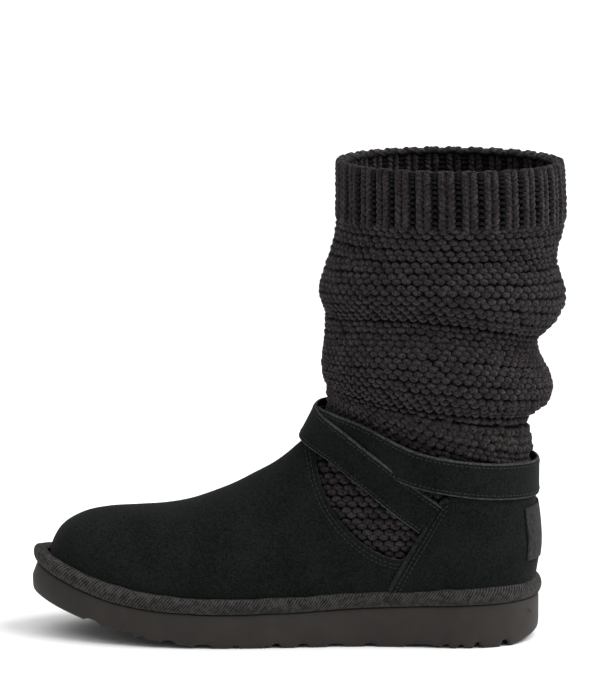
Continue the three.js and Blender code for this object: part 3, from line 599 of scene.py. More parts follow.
# The sole.
# Grooves across the tread: where each starts and ends at the medial edge, and its depth.
NOTCHES = [(-203.5, -196, 1.7), (-184, -177.5, 1.6), (-174.5, -171, 1.3), (-161.5, -154, 1.7),
           (-144, -134, 1.5), (-125, -120, 1.4), (-108, -104.6, 1), (-104.4, -99, 2.4), (-91, -84, 2),
           (-75, -64.5, 1.8), (-54.8, -47.5, 1.9), (-33.5, -13, 1.7), (-13, -8.6, 2.2), (-5.2, -0.8, 2),
           (4, 8.6, 3.2), (19.4, 25, 3.6)]
NOTCH_EDGE_Y = -40
NOTCH_WAVE = 40
NOTCH_SWING = 2.5
HEEL_BEVEL_FROM = 22
HEEL_BEVEL = 4.6
HEEL_BEVEL_CURVE = 1.3
OUTLINE_POINTS = 480
# The wall from tread to top: share of its height, and how far it lies inside the outline.
WALL_PROFILE = [(0, 1.9), (0.02, 1.1), (0.05, 0.6), (0.1, 0.3), (0.18, 0.12), (0.3, 0), (0.5, 0), (0.7, 0),
                (0.88, 0), (0.96, 0.1), (1, 0.5)]
TOE_LEAN = 2.6
TOE_LEAN_FROM = -195
TOE_LEAN_LENGTH = 40
CHORD_POINTS = 40


def centripetal(points, per_span=40):
    """A closed centripetal Catmull-Rom curve, the same one that the solids follow."""
    p = np.array(points, float)
    fine = []
    for i in range(len(p)):
        q = [p[(i + k - 1) % len(p)] for k in range(4)]
        k = np.concatenate([[0], np.cumsum([np.linalg.norm(q[j + 1] - q[j]) ** 0.5 for j in range(3)])])
        u = np.linspace(k[1], k[2], per_span, endpoint=False)[:, None]
        # Each round blends neighbours, first over one knot span and at last over the middle one.
        for spans, reach in ((3, 1), (2, 2)):
            q = [blend(q[j], q[j + 1], k[j], k[j + reach], u) for j in range(spans)]
        fine.append(blend(q[0], q[1], k[1], k[2], u))
    line = np.concatenate(fine + [fine[0][:1]])
    run = run_along(line)
    where = np.linspace(0, run[-1], OUTLINE_POINTS, endpoint=False)
    return at_run(line, run, where), where


def blend(first, second, low, high, u):
    """From first at low to second at high."""
    return ((high - u) * first + (u - low) * second) / (high - low)


outline, outline_run = centripetal(SOLE_OUTLINE)
tangent = unit(np.roll(outline, -1, axis=0) - np.roll(outline, 1, axis=0))
outward = np.stack([tangent[:, 1], -tangent[:, 0]], 1)
if ((outline - outline.mean(0)) * outward).sum() < 0:
    outward = -outward


def tread(x):
    share = np.clip((x - HEEL_BEVEL_FROM) / (SOLE_BACK - HEEL_BEVEL_FROM), 0, 1)
    return spring(x) + HEEL_BEVEL * share**HEEL_BEVEL_CURVE


def groove(x, y):
    depth = np.zeros_like(x)
    shift = NOTCH_SWING * (np.cos(2 * np.pi * (y - NOTCH_EDGE_Y) / NOTCH_WAVE) - 1)
    for start, end, deep in NOTCHES:
        d = np.abs(x - (start + end) / 2 - shift) / ((end - start) / 2)
        depth = np.maximum(depth, deep * np.sqrt(np.maximum(0, 1 - d**2)))
    return depth


def underside(x, y):
    return tread(x) + groove(x, y)


def toe_share(x):
    return np.clip((TOE_LEAN_FROM - x) / TOE_LEAN_LENGTH, 0, 1)


def sole_cap(ring, height):
    """A grid across the sole, from one half of a ring to the other."""
    half = np.arange(OUTLINE_POINTS // 2 + 1)
    share = np.linspace(0, 1, CHORD_POINTS)[None, :, None]
    one = ring[half, None, :2]
    other = ring[-half, None, :2]
    xy = (one + share * (other - one)).reshape(-1, 2)
    return np.column_stack([xy, height(*xy.T)]), grid_faces(len(half), CHORD_POINTS, False)


def make_outsole():
    rings = []
    for share, inset in WALL_PROFILE:
        lean = TOE_LEAN * toe_share(outline[:, 0]) * np.interp(share, [0.5, 1], [0, 1])
        x, y = (outline - outward * (inset + lean)[:, None]).T
        bottom = underside(x, y)
        rings.append(np.column_stack([x, y, bottom + share * (sole_top(x) - bottom)]))
    parts = [(np.concatenate(rings), grid_faces(len(rings), OUTLINE_POINTS, True)),
             sole_cap(rings[0], underside), sole_cap(rings[-1], lambda x, y: sole_top(x))]
    points, faces, _ = join_parts([(p, f, p) for p, f in parts])
    piece = add_mesh("sole", points, faces, sole_foam)
    merge_close(piece)
    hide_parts("outsole")


# The tape over the sole's top edge: how far out of the sole's edge, and the share of its height.
TAPE_SECTION = [(-6, 0.02), (-0.9, 0), (0.2, 0.05), (1, 0.17), (1.5, 0.33), (1.6, 0.48), (1.35, 0.63),
                (0.75, 0.77), (-0.2, 0.88), (-1.4, 0.96), (-2.6, 1), (-4.2, 0.97), (-6, 0.9)]
TAPE_EDGE_ROW = 10
TAPE_EDGE_SLANT = 0.6
TAPE_TOE_LEAN = 2.2
TAPE_LAP_X = -70
TAPE_LAP_LEAN = 10
TAPE_LAP_STEP = 0.55
TAPE_LAP_FADE = 14
# Slow waves in its height: size, radians per millimetre and shift.
TAPE_WAVES = [(0.16, 0.21, 0), (0.12, 0.47, 1)]


def tape_points():
    out, share = np.array(TAPE_SECTION).T
    reach = (out[None] - TAPE_TOE_LEAN * toe_share(outline[:, 0])[:, None])[..., None]
    xy = outline[:, None] + outward[:, None] * reach
    x, y = xy[..., 0], xy[..., 1]
    height = at(TAPE_HEIGHT, outline[:, 0])
    height += sum(size * np.sin(outline_run * rate + shift) for size, rate, shift in TAPE_WAVES)
    z = sole_top(x) + GAP + share * height[:, None]
    # One end of the tape lies over the other on the medial side, along a slant.
    beyond = x - (TAPE_LAP_X + TAPE_LAP_LEAN * (share - 0.5))
    lap = np.where((beyond > 0) & (y < 0), np.exp(-np.maximum(beyond, 0) / TAPE_LAP_FADE), 0) * TAPE_LAP_STEP
    lap = lap * np.clip(beyond / 0.5, 0, 1)
    return np.concatenate([xy + outward[:, None] * lap[..., None], z[..., None]], -1)


def make_tape():
    grid = tape_points()
    rows, columns = grid.shape[:2]
    points = grid.transpose(1, 0, 2).reshape(-1, 3)
    rise = np.broadcast_to(run_along(grid.mean(0))[:, None], (columns, rows))
    piece = add_mesh("tape", points, grid_faces(columns, rows, True), twill)
    add_vector(piece, "weave", np.column_stack([np.tile(outline_run, columns), rise.ravel()]))
    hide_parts("foxing_tape")
    # The frayed edge along the tape's top.
    slant = np.column_stack([outward, np.full(len(outward), TAPE_EDGE_SLANT)])
    row = stitches(smooth_rows(grid[:, TAPE_EDGE_ROW]), slant, *TAPE_STITCH)
    add_stitches("tape_edge", [row])


# Stitches: pitch, length, radius, and how unevenly they lie as a share of the pitch.
TAPE_STITCH = (1.3, 1.15, 0.3, 0.25)
COUNTER_STITCH = (2.6, 2.0, 0.24, 0.15)
WINDOW_STITCH = (2.6, 1.9, 0.22, 0.15)
STRAP_STITCH = (2.4, 1.6, 0.22, 0.2)
STITCH_LIFT = 0.1


def stitches(line, normals, pitch, length, radius, jitter):
    """A row of stitches along a line on a surface."""
    run = run_along(line)
    starts = np.arange(pitch / 2, run[-1] - pitch / 2, pitch)
    starts = starts + jitter * pitch * rng.uniform(-0.5, 0.5, len(starts))
    share = np.linspace(-0.5, 0.5, 5)
    where = starts[:, None] + share[None] * length
    centres = at_run(line, run, where)
    out = unit(at_run(normals, run, where))
    # Its ends dip into the surface and close to a near point.
    rise = STITCH_LIFT - 0.5 * radius * (2 * share) ** 2
    radii = radius * np.sqrt(np.maximum(1 - np.abs(2 * share) ** 3.2, 0.02))
    return tubes(centres + out * rise[None, :, None], radii, 5, out)


def add_stitches(name, rows):
    points, faces, _ = join_parts(rows)
    return add_mesh(name, points, faces, thread)


# The suede foot.
SUEDE_ROWS = 6
SUEDE_ROUND = 220


def suede_sheet(first):
    """A fine grid on the form from a section up into the shaft."""
    rows = (FOOT_COUNT + 1 - first) * SUEDE_ROWS + 1
    return form_sheet(first, FOOT_COUNT + 1, rows, SUEDE_ROUND)[1:]


# Soft creases of the suede in the side view: start, end, half width and height, down if negative.
CREASES = [((-128, 74), (-98, 42), 13, -0.7), ((-112, 82), (-84, 50), 9, 0.45),
           ((-150, 66), (-138, 34), 16, -0.35), ((-205, 58), (-190, 34), 14, 0.35),
           ((-96, 44), (-52, 34), 9, -0.5), ((-84, 62), (-60, 44), 6, 0.4),
           ((-122, 84), (-140, 60), 10, 0.3), ((-175, 40), (-130, 33), 9, -0.3)]
COUNTER_FROM = 12
COUNTER_BEHIND = 2.4
COUNTER_CREASES = [((-8, 74), (22, 62), 9, -0.35), ((6, 44), (30, 42), 8, 0.35),
                   ((-22, 44), (4, 36), 8, -0.4)]


def dented(points, normals, creases):
    flat = points[:, [0, 2]]
    total = np.zeros(len(points))
    for start, end, half, height in creases:
        distance = line_distance(flat, np.array([start, end], float))
        total += height * np.exp(-((distance / half) ** 2))
    return points + normals * total[:, None]


def cut_at_sole(points, faces):
    """Cuts a mesh off just above the sole."""
    xs = np.linspace(SOLE_TIP - 20, SOLE_BACK + 20, 90)
    low = np.column_stack([xs, sole_top(xs) + GAP])
    return clip(points, faces, side_field(points, low, [(xs[-1], -FAR), (xs[0], -FAR)]))


def make_upper():
    points, normals, faces = suede_sheet(0)
    points = dented(points, normals, CREASES)
    above = side_field(points, top_line, [(top_line[-1][0], FAR), (top_line[0][0], FAR)])
    points, faces = cut_at_sole(*clip(points, faces, above))
    piece = add_mesh("foot_suede", points, faces, suede)
    piece.data.materials.append(lining)
    piece.data.materials.append(raw_edge_and_highlight)
    merge_close(piece, 0.005)
    solidify(piece, SUEDE, back=1, rim=2)
    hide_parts("upper")


def make_counter():
    points, normals, faces = suede_sheet(COUNTER_FROM)
    points = dented(points + normals * (GAP + COUNTER), normals, COUNTER_CREASES)
    edge = np.concatenate([counter_front + (COUNTER_BEHIND, 0), spline(HEEL_TOP, 2)])
    outside = -side_field(points, edge, [(HEEL_TOP[-1][0], 0), (edge[0][0], 0)])
    points, faces = cut_at_sole(*clip(points, faces, outside))
    piece = add_mesh("counter_suede", points, faces, suede)
    piece.data.materials.append(raw_edge_and_highlight)
    merge_close(piece, 0.005)
    solidify(piece, COUNTER, rim=1)
    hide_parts("heel_counter")


def offset_line(line, distance):
    """A side-view line moved to its left by a distance."""
    along = unit(np.gradient(line, axis=0))
    return line + distance * np.column_stack([-along[:, 1], along[:, 0]])


# The piping's low end, radius, place behind the seam's line and height over the form, and the rows of
# stitches behind the counter's seam and outside the window's edge.
PIPING_LOW = 30
PIPING_RADIUS = 1.15
PIPING_BEHIND = 1.1
PIPING_OFF = 0.7
COUNTER_SEAM_ROWS = (-3.6, -5.6)
WINDOW_SEAM_ROWS = (-2.4, -4.4)
WINDOW_SEAM_FROM = -87


def make_seams():
    rows = []
    for side, name in ((-1, "medial"), (1, "lateral")):
        seam = resample(counter_front[counter_front[:, 1] > PIPING_LOW], 1.5)
        centre, normals = on_side(seam + (PIPING_BEHIND, 0), side, PIPING_OFF)
        points, faces, _ = tubes(centre[None], PIPING_RADIUS, 10, normals[None])
        piece = add_mesh("seam_piping_" + name, points, faces, folded_edge)
        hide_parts("counter_piping_" + name)
        edge = resample(window_line[window_line[:, 0] > WINDOW_SEAM_FROM], 2)
        for distance in COUNTER_SEAM_ROWS:
            line = on_side(offset_line(seam, distance), side, GAP + COUNTER)
            rows.append(stitches(*line, *COUNTER_STITCH))
        for distance in WINDOW_SEAM_ROWS:
            line = on_side(offset_line(edge, distance), side, 0)
            rows.append(stitches(*line, *WINDOW_STITCH))
    add_stitches("suede_stitches", rows)


# The strap.
def on_skin(angle, z):
    a = math.radians(angle)
    direction = np.array([math.cos(a), -math.sin(a), 0])
    start = np.array([STRAP_AXIS_X, 0, z]) + direction * FAR
    hit, _ = shoot(start, -direction)
    return hit, direction


STRAP_END_CUT = 4
STRAP_STEPS = 10
STRAP_SEAM_INSET = 2.3
STRAP_SEAM_RISE = 0.06
STRAP_FLUTTER = 0.15
# The band's section: share of its width, and height over its inner face.
STRAP_SECTION = [(-0.5, 0), (-0.5, 0.75), (-0.485, 1.25), (-0.455, 1.5), (-0.4, 1.62), (-0.2, STRAP_THICK),
                 (0, STRAP_THICK), (0.2, STRAP_THICK), (0.4, 1.62), (0.455, 1.5), (0.485, 1.25),
                 (0.5, 0.75), (0.5, 0), (0, 0)]
# Section columns given the lighter edge: the cut sides and their rounded corners, and the shoulders beside
# them as painted highlight.
STRAP_EDGES_AND_HIGHLIGHT = (0, 1, 2, 9, 10, 11)


def strap_rows():
    """Frames along the strap: middle, up, out and how far it stands off."""
    route = np.array(STRAP_ROUTE, float)
    ts = np.linspace(0, len(route) - 1, (len(route) - 1) * STRAP_STEPS + 1)
    angle, z, off = (column(values, ts) for values in route.T)
    hits, outwards = (np.array(found) for found in zip(*map(on_skin, angle, z)))
    centre = smooth_rows(hits, 6)
    along = unit(np.gradient(centre, axis=0))
    across = unit(np.cross(along, outwards))
    across = across * np.sign(across[:, 2:3])
    edges = []
    for share in (-0.5, 0.5):
        goal = centre + across * share * STRAP_WIDTH
        angle = np.degrees(np.arctan2(-goal[:, 1], goal[:, 0] - STRAP_AXIS_X))
        edges.append(smooth_rows(np.array([on_skin(a, h)[0] for a, h in zip(angle, goal[:, 2])]), 8))
    low, high = edges
    middle = (low + high) / 2
    bow = np.maximum(0, ((centre - middle) * outwards).sum(1))
    up = unit(high - low)
    out = unit(np.cross(up, along))
    out = out * np.sign((out * outwards).sum(1))[:, None]
    return middle, up, out, off + smooth_rows(bow, 8)


def make_strap():
    # Both ends stop short of the counter's seam.
    middle, up, out, off = strap_rows()
    run = run_along(middle)
    kept = (run > STRAP_END_CUT) & (run < run[-1] - STRAP_END_CUT)
    middle, up, out, off = middle[kept], up[kept], out[kept], off[kept]
    count = len(middle)
    off = off + STRAP_FLUTTER * np.sin(np.arange(count) * 0.33) * np.hanning(count)
    share, rise = np.array(STRAP_SECTION).T
    points = (middle[:, None] + up[:, None] * (share * STRAP_WIDTH)[:, None]
              + out[:, None] * (off[:, None] + rise)[..., None]).reshape(-1, 3)
    around = len(share)
    cap = np.array([(i, i + 1, around - 2 - i, around - 1 - i) for i in range(around // 2 - 1)])
    faces = np.concatenate([grid_faces(count, around, True), cap, cap[:, ::-1] + (count - 1) * around])
    piece = add_mesh("strap_band", points, faces, strap_suede)
    # The cut edges and their shoulders take the lighter edge, partly painted highlight.
    piece.data.materials.append(raw_edge_and_highlight)
    column_of = np.concatenate([np.tile(np.arange(around), count - 1), np.full(2 * len(cap), STRAP_EDGES_AND_HIGHLIGHT[0])])
    piece.data.polygons.foreach_set("material_index", np.isin(column_of, STRAP_EDGES_AND_HIGHLIGHT).astype(np.int32))
    piece.data.update()
    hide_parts("ankle_strap")
    rows = []
    for side in (-1, 1):
        inset = side * (STRAP_WIDTH / 2 - STRAP_SEAM_INSET)
        line = middle + up * inset + out * (off + STRAP_THICK + STRAP_SEAM_RISE)[:, None]
        rows.append(stitches(line, out, *STRAP_STITCH))
    add_stitches("strap_stitches", rows)


# The knit.
RIDGE_PITCH = 5.9
ROW_T_FROM = 22.6
ROW_T_TO = TOP - CUFF_ROWS + 0.8
YARN = 1.88
BACKING_DEPTH = 2.5
# A bead's points from end to end, its share of its thickness there, how far it reaches each way as a share
# of the pitch, and how far its ends sink and turn away.
BEAD_POINTS = np.linspace(-1, 1, 7)
BEAD_RADII = np.sqrt(1 - 0.88 * BEAD_POINTS**2)
BEAD_REACH = 0.43
BEAD_SINK = 2.6
BEAD_HEIGHT = 1.1
BEAD_SIDES = 7
# How unevenly the beads are made: thickness and arc as shares, and depth in millimetres.
UNEVEN_YARN = 0.05
UNEVEN_ARC = 0.12
UNEVEN_DEPTH = 0.15
# The two rows of beads in a ridge: shift round in stitches, way of the arcs, and sag as a share of the pitch.
RIDGE_HALVES = ((0.0, 1, 0.0), (0.5, -1, 0.48))
# How far the knit wanders: round the shaft in radians, and up it as a share of the pitch.
WOBBLE = 0.004
DRIFT = 0.04
# The dark sheet behind the beads: the knit's body, darker than the yarn as painted shade.
GROUND_FROM = 16
GROUND_TO = TOP - 0.4
GROUND_LOW_DEPTH = 1.2
GROUND_ROWS = 140
GROUND_ROUND = 128


def knit_face(t):
    """How far the knit's crest lies from the form: under the suede at first, then as the form itself."""
    u = np.clip((np.asarray(t, float) - KNIT_SHOWS) / 1.4, 0, 1)
    return -(SUEDE + GAP) * (1 - u * u * (3 - 2 * u))


def ridge_levels():
    """Section numbers of the ridges, evenly spaced along the medial side of the shaft."""
    ts = np.linspace(ROW_T_FROM, ROW_T_TO, 600)
    length = np.mean([run_along(form(ts, phi)) for phi in np.radians([60, 90, 120])], axis=0)
    count = int(round(length[-1] / RIDGE_PITCH))
    return np.interp(np.linspace(0, length[-1], count), length, ts)


def bead_paths(t, phi, width, height, base, bulge):
    """Centre lines of a row of beads: arcs whose ends turn away by height and sink into the knit."""
    point, round_, up, out = form_frame(t, phi)
    arch = -(BEAD_POINTS**2)
    side = (BEAD_REACH * BEAD_POINTS)[None, :, None] * width[:, None, None]
    rise = arch[None, :, None] * height[:, None, None]
    off = (base[:, None] + bulge[:, None] * arch[None])[..., None]
    centres = point[:, None] + round_[:, None] * side + up[:, None] * rise + out[:, None] * off
    return centres, np.broadcast_to(out[:, None], centres.shape)


def knit_rows(levels, first, last):
    parts = []
    columns = np.arange(STITCHES_ROUND)
    stitch_angle = 2 * np.pi / STITCHES_ROUND
    spacing = np.gradient(levels)
    step = 0.05

    def uneven(share):
        return share * rng.standard_normal(STITCHES_ROUND)

    for k in range(first, last):
        wobble = uneven(WOBBLE)
        drift = uneven(DRIFT)
        for half, way, sag in RIDGE_HALVES:
            phi = stitch_angle * (columns + half) + wobble
            level = levels[k] - (sag + drift) * spacing[k]
            rising = (form(level + step, phi) - form(level - step, phi)) / (2 * step)
            per_t = (rising * form_frame(level, phi)[2]).sum(-1)
            local = np.clip(per_t * spacing[k] / RIDGE_PITCH, 0.62, 1.7)
            chord = np.linalg.norm(form(level, phi + step) - form(level, phi - step), axis=-1)
            radius = YARN * local**0.75 * (1 + uneven(UNEVEN_YARN))
            base = knit_face(levels[k]) - radius + GAP + uneven(UNEVEN_DEPTH)
            height = way * BEAD_HEIGHT * local * (1 + uneven(UNEVEN_ARC))
            width = chord / (2 * step) * stitch_angle
            centres, out = bead_paths(level, phi, width, height, base, BEAD_SINK * local**0.5)
            parts.append(tubes(centres, radius[:, None] * BEAD_RADII[None], BEAD_SIDES, out))
    return join_parts(parts)


def add_yarn(name, parts, look=yarn):
    points, faces, ply_and_shade = parts
    piece = add_mesh(name, points, faces, look)
    add_vector(piece, "ply_and_shade", ply_and_shade)
    return piece


def make_shaft():
    levels = ridge_levels()
    half = len(levels) // 2
    lower = add_yarn("knit_lower", knit_rows(levels, 0, half))
    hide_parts("knit_shaft")
    add_yarn("knit_upper", knit_rows(levels, half, len(levels)))
    t, points, out, faces = form_sheet(GROUND_FROM, GROUND_TO, GROUND_ROWS, GROUND_ROUND)
    off = knit_face(t) - np.where(t < ROW_T_FROM, GROUND_LOW_DEPTH, BACKING_DEPTH)
    sheet = add_mesh("knit_ground", points + out * off[:, None], faces, painted_shade_backing)
    solidify(sheet, KNIT - BACKING_DEPTH)


# The ribbed cuff.
CUFF_LOW = TOP - CUFF_ROWS + 0.85
CUFF_HIGH = TOP - 0.5
CUFF_V_ROWS = 12
# A V's leg from its foot to its tip: place across the rib, height in rows, how far it stands out, and radius.
V_LEG = [(0.045, -0.75, -0.55, 0.9), (0.1, -0.35, 0.2, 1.45), (0.17, 0.05, 0.5, 1.75),
         (0.24, 0.4, 0.2, 1.65), (0.3, 0.7, -0.8, 1.3), (0.33, 0.85, -2.1, 0.7)]
# A small bump in the gap between two ribs.
GAP_BUMP = [(-0.14, -0.1, -0.5, 0.4), (-0.07, 0.05, -0.1, 0.75), (0, 0.1, 0, 0.85), (0.07, 0.05, -0.1, 0.75),
            (0.14, -0.1, -0.5, 0.4)]
GAP_DEPTH = 3.5
RIB_DEPTH = 1.25


def cuff_strands(table, side, low, high, centre, base, way, depth):
    share, rise, out_by, radius = (np.array(values) for values in zip(*table))
    rib = 2 * np.pi / CUFF_RIBS
    phi = (np.arange(CUFF_RIBS)[:, None] + centre + side * share[None]) * rib
    level = (low + high) / 2 + (high - low) * (rise[None] + 0.04 * rng.standard_normal((CUFF_RIBS, 1)))
    point, _, _, out = form_frame(np.clip(level, 0, TOP), phi)
    off = depth + way * (base + out_by[None] + 0.1 * rng.standard_normal((CUFF_RIBS, 1)))
    return tubes(point + out * off[..., None], radius, BEAD_SIDES, out * way)


def cuff_rows(inner):
    """Columns of V stitches standing out of the cuff, with a column of small bumps between them."""
    ts = np.linspace(CUFF_LOW, CUFF_HIGH, CUFF_V_ROWS + 1)
    way, depth = (-1, -KNIT) if inner else (1, 0)
    ribs, gaps = [], []
    for low, high in zip(ts[:-1], ts[1:]):
        for side in (-1, 1):
            ribs.append(cuff_strands(V_LEG, side, low, high, 0, -RIB_DEPTH, way, depth))
        gaps.append(cuff_strands(GAP_BUMP, 1, low, high, 0.5, -GAP_DEPTH, way, depth))
    return join_parts(ribs), join_parts(gaps)


# The cast-off edge: how far its middle lies under the top, and its half height.
RIM_DROP = 1.9
RIM_HEIGHT = 1.65
RIM_STEPS = 8 * CUFF_RIBS
RIM_SIDES = 14


def rim_roll():
    """The cast-off edge: one soft, lumpy roll round the top of the cuff, highest over the ribs."""
    phi = 2 * np.pi * np.arange(RIM_STEPS)[:, None] / RIM_STEPS
    turn = 2 * np.pi * np.arange(RIM_SIDES)[None] / RIM_SIDES
    ribbed = np.cos(CUFF_RIBS * phi)
    chain = np.cos(2 * CUFF_RIBS * phi + turn)
    lumps = 1 + 0.06 * ribbed + 0.09 * chain + 0.05 * rng.standard_normal((RIM_STEPS, RIM_SIDES))
    point, _, _, out = form_frame(np.full_like(phi, TOP), phi)
    across = (KNIT / 2 + 0.5) * lumps * np.cos(turn) - KNIT / 2
    height = RIM_HEIGHT * lumps * np.sin(turn) + 0.35 * ribbed - RIM_DROP
    points = point + out * across[..., None] + np.array([0, 0, 1]) * height[..., None]
    # Its third value is the crest, the mask of the yarn's painted shade and light.
    ply_and_shade = np.stack(np.broadcast_arrays(phi * RIM_STEPS / 8, turn, np.sin(turn)), -1)
    faces = grid_faces(RIM_STEPS + 1, RIM_SIDES, True)[:, ::-1] % (RIM_STEPS * RIM_SIDES)
    return points.reshape(-1, 3), faces, ply_and_shade.reshape(-1, 3)


def make_cuff():
    for name, inner in (("outer", False), ("inner", True)):
        ribs, gaps = cuff_rows(inner)
        add_yarn("cuff_" + name, ribs)
        # The bumps deep in the gaps take the darker copy of the yarn, as painted shade.
        add_yarn("cuff_gaps_" + name, gaps, painted_shade_yarn)
    add_yarn("cuff_rim", rim_roll())


# Short loose hairs of the yarn.
HAIRS = 4000
HAIR_LENGTH = (0.9, 2.4)
HAIR_RADII = np.array([0.07, 0.06, 0.05, 0.02])


def make_hairs():
    t = rng.uniform(ROW_T_FROM, TOP - 0.3, HAIRS)
    phi = rng.uniform(0, 2 * np.pi, HAIRS)
    point, round_, up, out = form_frame(t, phi)
    aside, upwards, curl = rng.standard_normal((3, HAIRS, 1))
    way = unit(out + 0.8 * aside * round_ + 0.8 * upwards * up)
    length = rng.uniform(*HAIR_LENGTH, (HAIRS, 1, 1))
    u = np.linspace(0, 1, len(HAIR_RADII))[None, :, None]
    start = point + out * (knit_face(t) - 0.5)[:, None]
    centres = start[:, None] + way[:, None] * length * u + (curl * round_)[:, None] * 0.5 * u * u
    add_yarn("yarn_hairs", tubes(centres, HAIR_RADII, 3, np.broadcast_to(out[:, None], centres.shape)))


# The knit that shows in the side windows, with level rows.
WINDOW_ROWS = (38, 104)
WINDOW_PITCH = 5.8
WINDOW_SPAN = (-100, -4)
WINDOW_YARN = 1.88
WINDOW_HALVES = ((0.0, 1, 0.0), (0.5, -1, 2.6))
WINDOW_HEIGHT = 0.9
WINDOW_BULGE = 2.3
WINDOW_SINK = 0.4
WINDOW_SIDES = 8
# Beads stay within this distance outside the window's edge, and off the rows' ends.
WINDOW_MARGIN = 4
WINDOW_CLOSING = [(-12, 82), (0, FAR), (-110, FAR)]


def make_window(side, name):
    parts = []
    arch = -(BEAD_POINTS**2)[None]
    xs = np.arange(*WINDOW_SPAN, 1.0)
    for z in np.arange(*WINDOW_ROWS, WINDOW_PITCH):
        for half, way, sag in WINDOW_HALVES:
            points, normals = on_side([(x, z - sag) for x in xs], side, 0)
            normals = smooth_rows(normals, 3)
            run = run_along(points)
            middles = run[-1] - np.arange(WINDOW_PITCH * (0.5 + half), run[-1] - WINDOW_MARGIN, WINDOW_PITCH)
            # The knit bulges in the window, and lies under the suede round it.
            depth = side_field(at_run(points, run, middles), window_line, WINDOW_CLOSING)
            middles, depth = middles[depth > -WINDOW_MARGIN], depth[depth > -WINDOW_MARGIN]
            bulge = np.clip((depth + 1.5) / 8, 0, 1)
            crest = WINDOW_BULGE * bulge * bulge * (3 - 2 * bulge) - (SUEDE + GAP) - WINDOW_SINK
            where = middles[:, None] + (BEAD_REACH * BEAD_POINTS)[None] * WINDOW_PITCH
            out = unit(at_run(normals, run, where))
            rise = way * WINDOW_HEIGHT * (1 + UNEVEN_ARC * rng.standard_normal((len(middles), 1))) * arch
            centres = at_run(points, run, where) + np.array([0, 0, 1]) * rise[..., None]
            centres = centres + out * (BEAD_SINK * arch + (crest - WINDOW_YARN)[:, None])[..., None]
            parts.append(tubes(centres, WINDOW_YARN * BEAD_RADII, WINDOW_SIDES, out))
    add_yarn("window_knit_" + name, join_parts(parts))


# The label and the inside.
LABEL_WIDTH = 38
LABEL_HEIGHT = 28
LABEL_MIDDLE = 59
LABEL_GRID = (41, 25)


def make_label():
    ys = np.linspace(-LABEL_WIDTH / 2, LABEL_WIDTH / 2, LABEL_GRID[0])
    zs = LABEL_MIDDLE + np.linspace(-LABEL_HEIGHT / 2, LABEL_HEIGHT / 2, LABEL_GRID[1])
    hits = [shoot((FAR, y, z), (-1, 0, 0)) for z in zs for y in ys]
    points = np.array([hit + normal * (GAP + COUNTER + GAP + LABEL) for hit, normal in hits])
    piece = add_mesh("blank_label", points, grid_faces(len(zs), len(ys), False), label_cloth)
    merge_close(piece, 0.001)
    solidify(piece, LABEL)
    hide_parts("heel_label")


INSOLE_SPAN = (-219, 27)
INSOLE_GRID = (124, 41)
INSOLE_SIDE_GAP = 1.2
PILE_SINK = 0.4
PILE = 0.35


def make_insole():
    """The fleece's uneven top, between the two walls of the upper."""
    xs = np.linspace(*INSOLE_SPAN, INSOLE_GRID[0])
    rows = []
    for x in xs:
        z = float(sole_top(x)) + GAP + INSOLE
        hits = [shoot((x, side * FAR, z), (0, -side, 0))[0] for side in (-1, 1)]
        rows.append([hit[1] - side * (SUEDE + INSOLE_SIDE_GAP) for hit, side in zip(hits, (-1, 1))])
    low, high = smooth_rows(np.array(rows)).T
    half = np.maximum((high - low) / 2, 0.5)[:, None]
    y = (low + high)[:, None] / 2 + half * np.linspace(-1, 1, INSOLE_GRID[1])[None]
    x = np.broadcast_to(xs[:, None], y.shape)
    z = sole_top(x) + GAP + INSOLE - PILE_SINK + PILE * rng.standard_normal(y.shape)
    points = np.stack([x, y, z], -1).reshape(-1, 3)
    piece = add_mesh("fleece_insole", points, grid_faces(*y.shape, False), lining)
    merge_close(piece, 0.001)
    solidify(piece, INSOLE - 1)
    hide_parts("insole")


make_outsole()
make_tape()
make_upper()
make_counter()
make_seams()
make_strap()
make_shaft()
make_cuff()
make_hairs()
make_window(-1, "medial")
make_window(1, "lateral")
make_label()
make_insole()

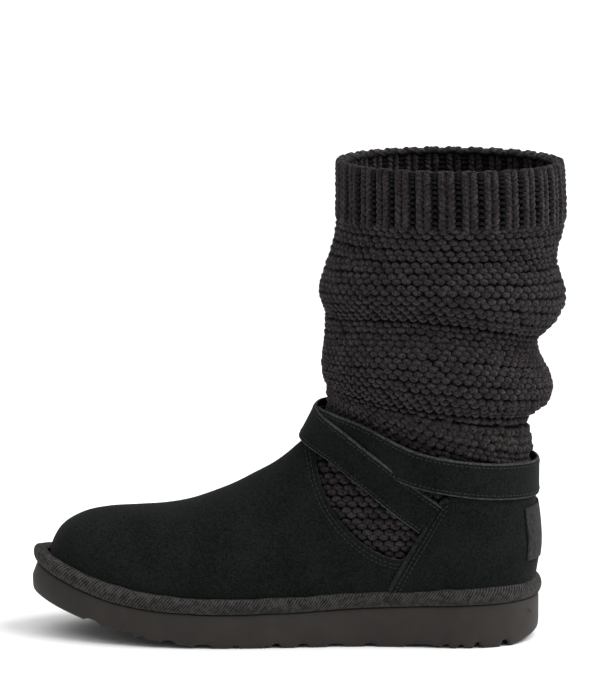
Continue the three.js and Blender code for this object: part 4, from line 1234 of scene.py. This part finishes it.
# The floor, the light and the camera.
FLOOR = 9
FLOOR_WHITE = 0.84


def make_stage():
    mesh = bpy.data.meshes.new("floor")
    corners = [(-FLOOR, -FLOOR, 0), (FLOOR, -FLOOR, 0), (FLOOR, FLOOR, 0), (-FLOOR, FLOOR, 0)]
    mesh.from_pydata(corners, [], [(0, 1, 2, 3)])
    floor = add_object("floor", mesh)

    def build(graph, shader):
        white = (FLOOR_WHITE, FLOOR_WHITE, FLOOR_WHITE, 1)
        put(graph, shader, {"Base Color": white, "Roughness": 0.9, "Specular IOR Level": 0.1})

    mesh.materials.append(material("floor_white", build))


# Soft suns: name, the direction that the light comes from, its spread in degrees and its strength.
SUNS = [
    ("key", (0.72, -0.12, 0.8), 50, 3.5),
    ("top", (-0.25, 0, 1), 80, 1.6),
    ("front", (0.1, -0.8, 1), 50, 0.4),
]
WORLD_LIGHT = 0.36


def aim(item, place, target):
    item.location = place
    item.rotation_euler = (Vector(target) - Vector(place)).to_track_quat("-Z", "Y").to_euler()


def make_lights():
    for name, place, spread, strength in SUNS:
        lamp = bpy.data.lights.new(name, "SUN")
        lamp.angle = math.radians(spread)
        lamp.energy = strength
        aim(add_object(name, lamp), place, (0, 0, 0))
    world = bpy.data.worlds.new("studio")
    world.use_nodes = True
    graph = world.node_tree
    put(graph, graph.nodes["Background"], {"Color": (1, 1, 1, 1), "Strength": WORLD_LIGHT})
    bpy.context.scene.world = world


CAMERA_PLACE = (0.1174, -2.9927, 0.7)
CAMERA_TARGET = (-0.09187, 0, 0.15469)
FOCAL_PIXELS = 5730.76
PICTURE_HEIGHT = 695
SENSOR = 36


def make_camera():
    lens = bpy.data.cameras.new("camera")
    lens.sensor_width = SENSOR
    lens.lens = FOCAL_PIXELS * SENSOR / PICTURE_HEIGHT
    camera = add_object("camera", lens)
    aim(camera, CAMERA_PLACE, CAMERA_TARGET)
    bpy.context.scene.camera = camera


make_stage()
make_lights()
make_camera()
bpy.context.scene.view_settings.view_transform = "Standard"
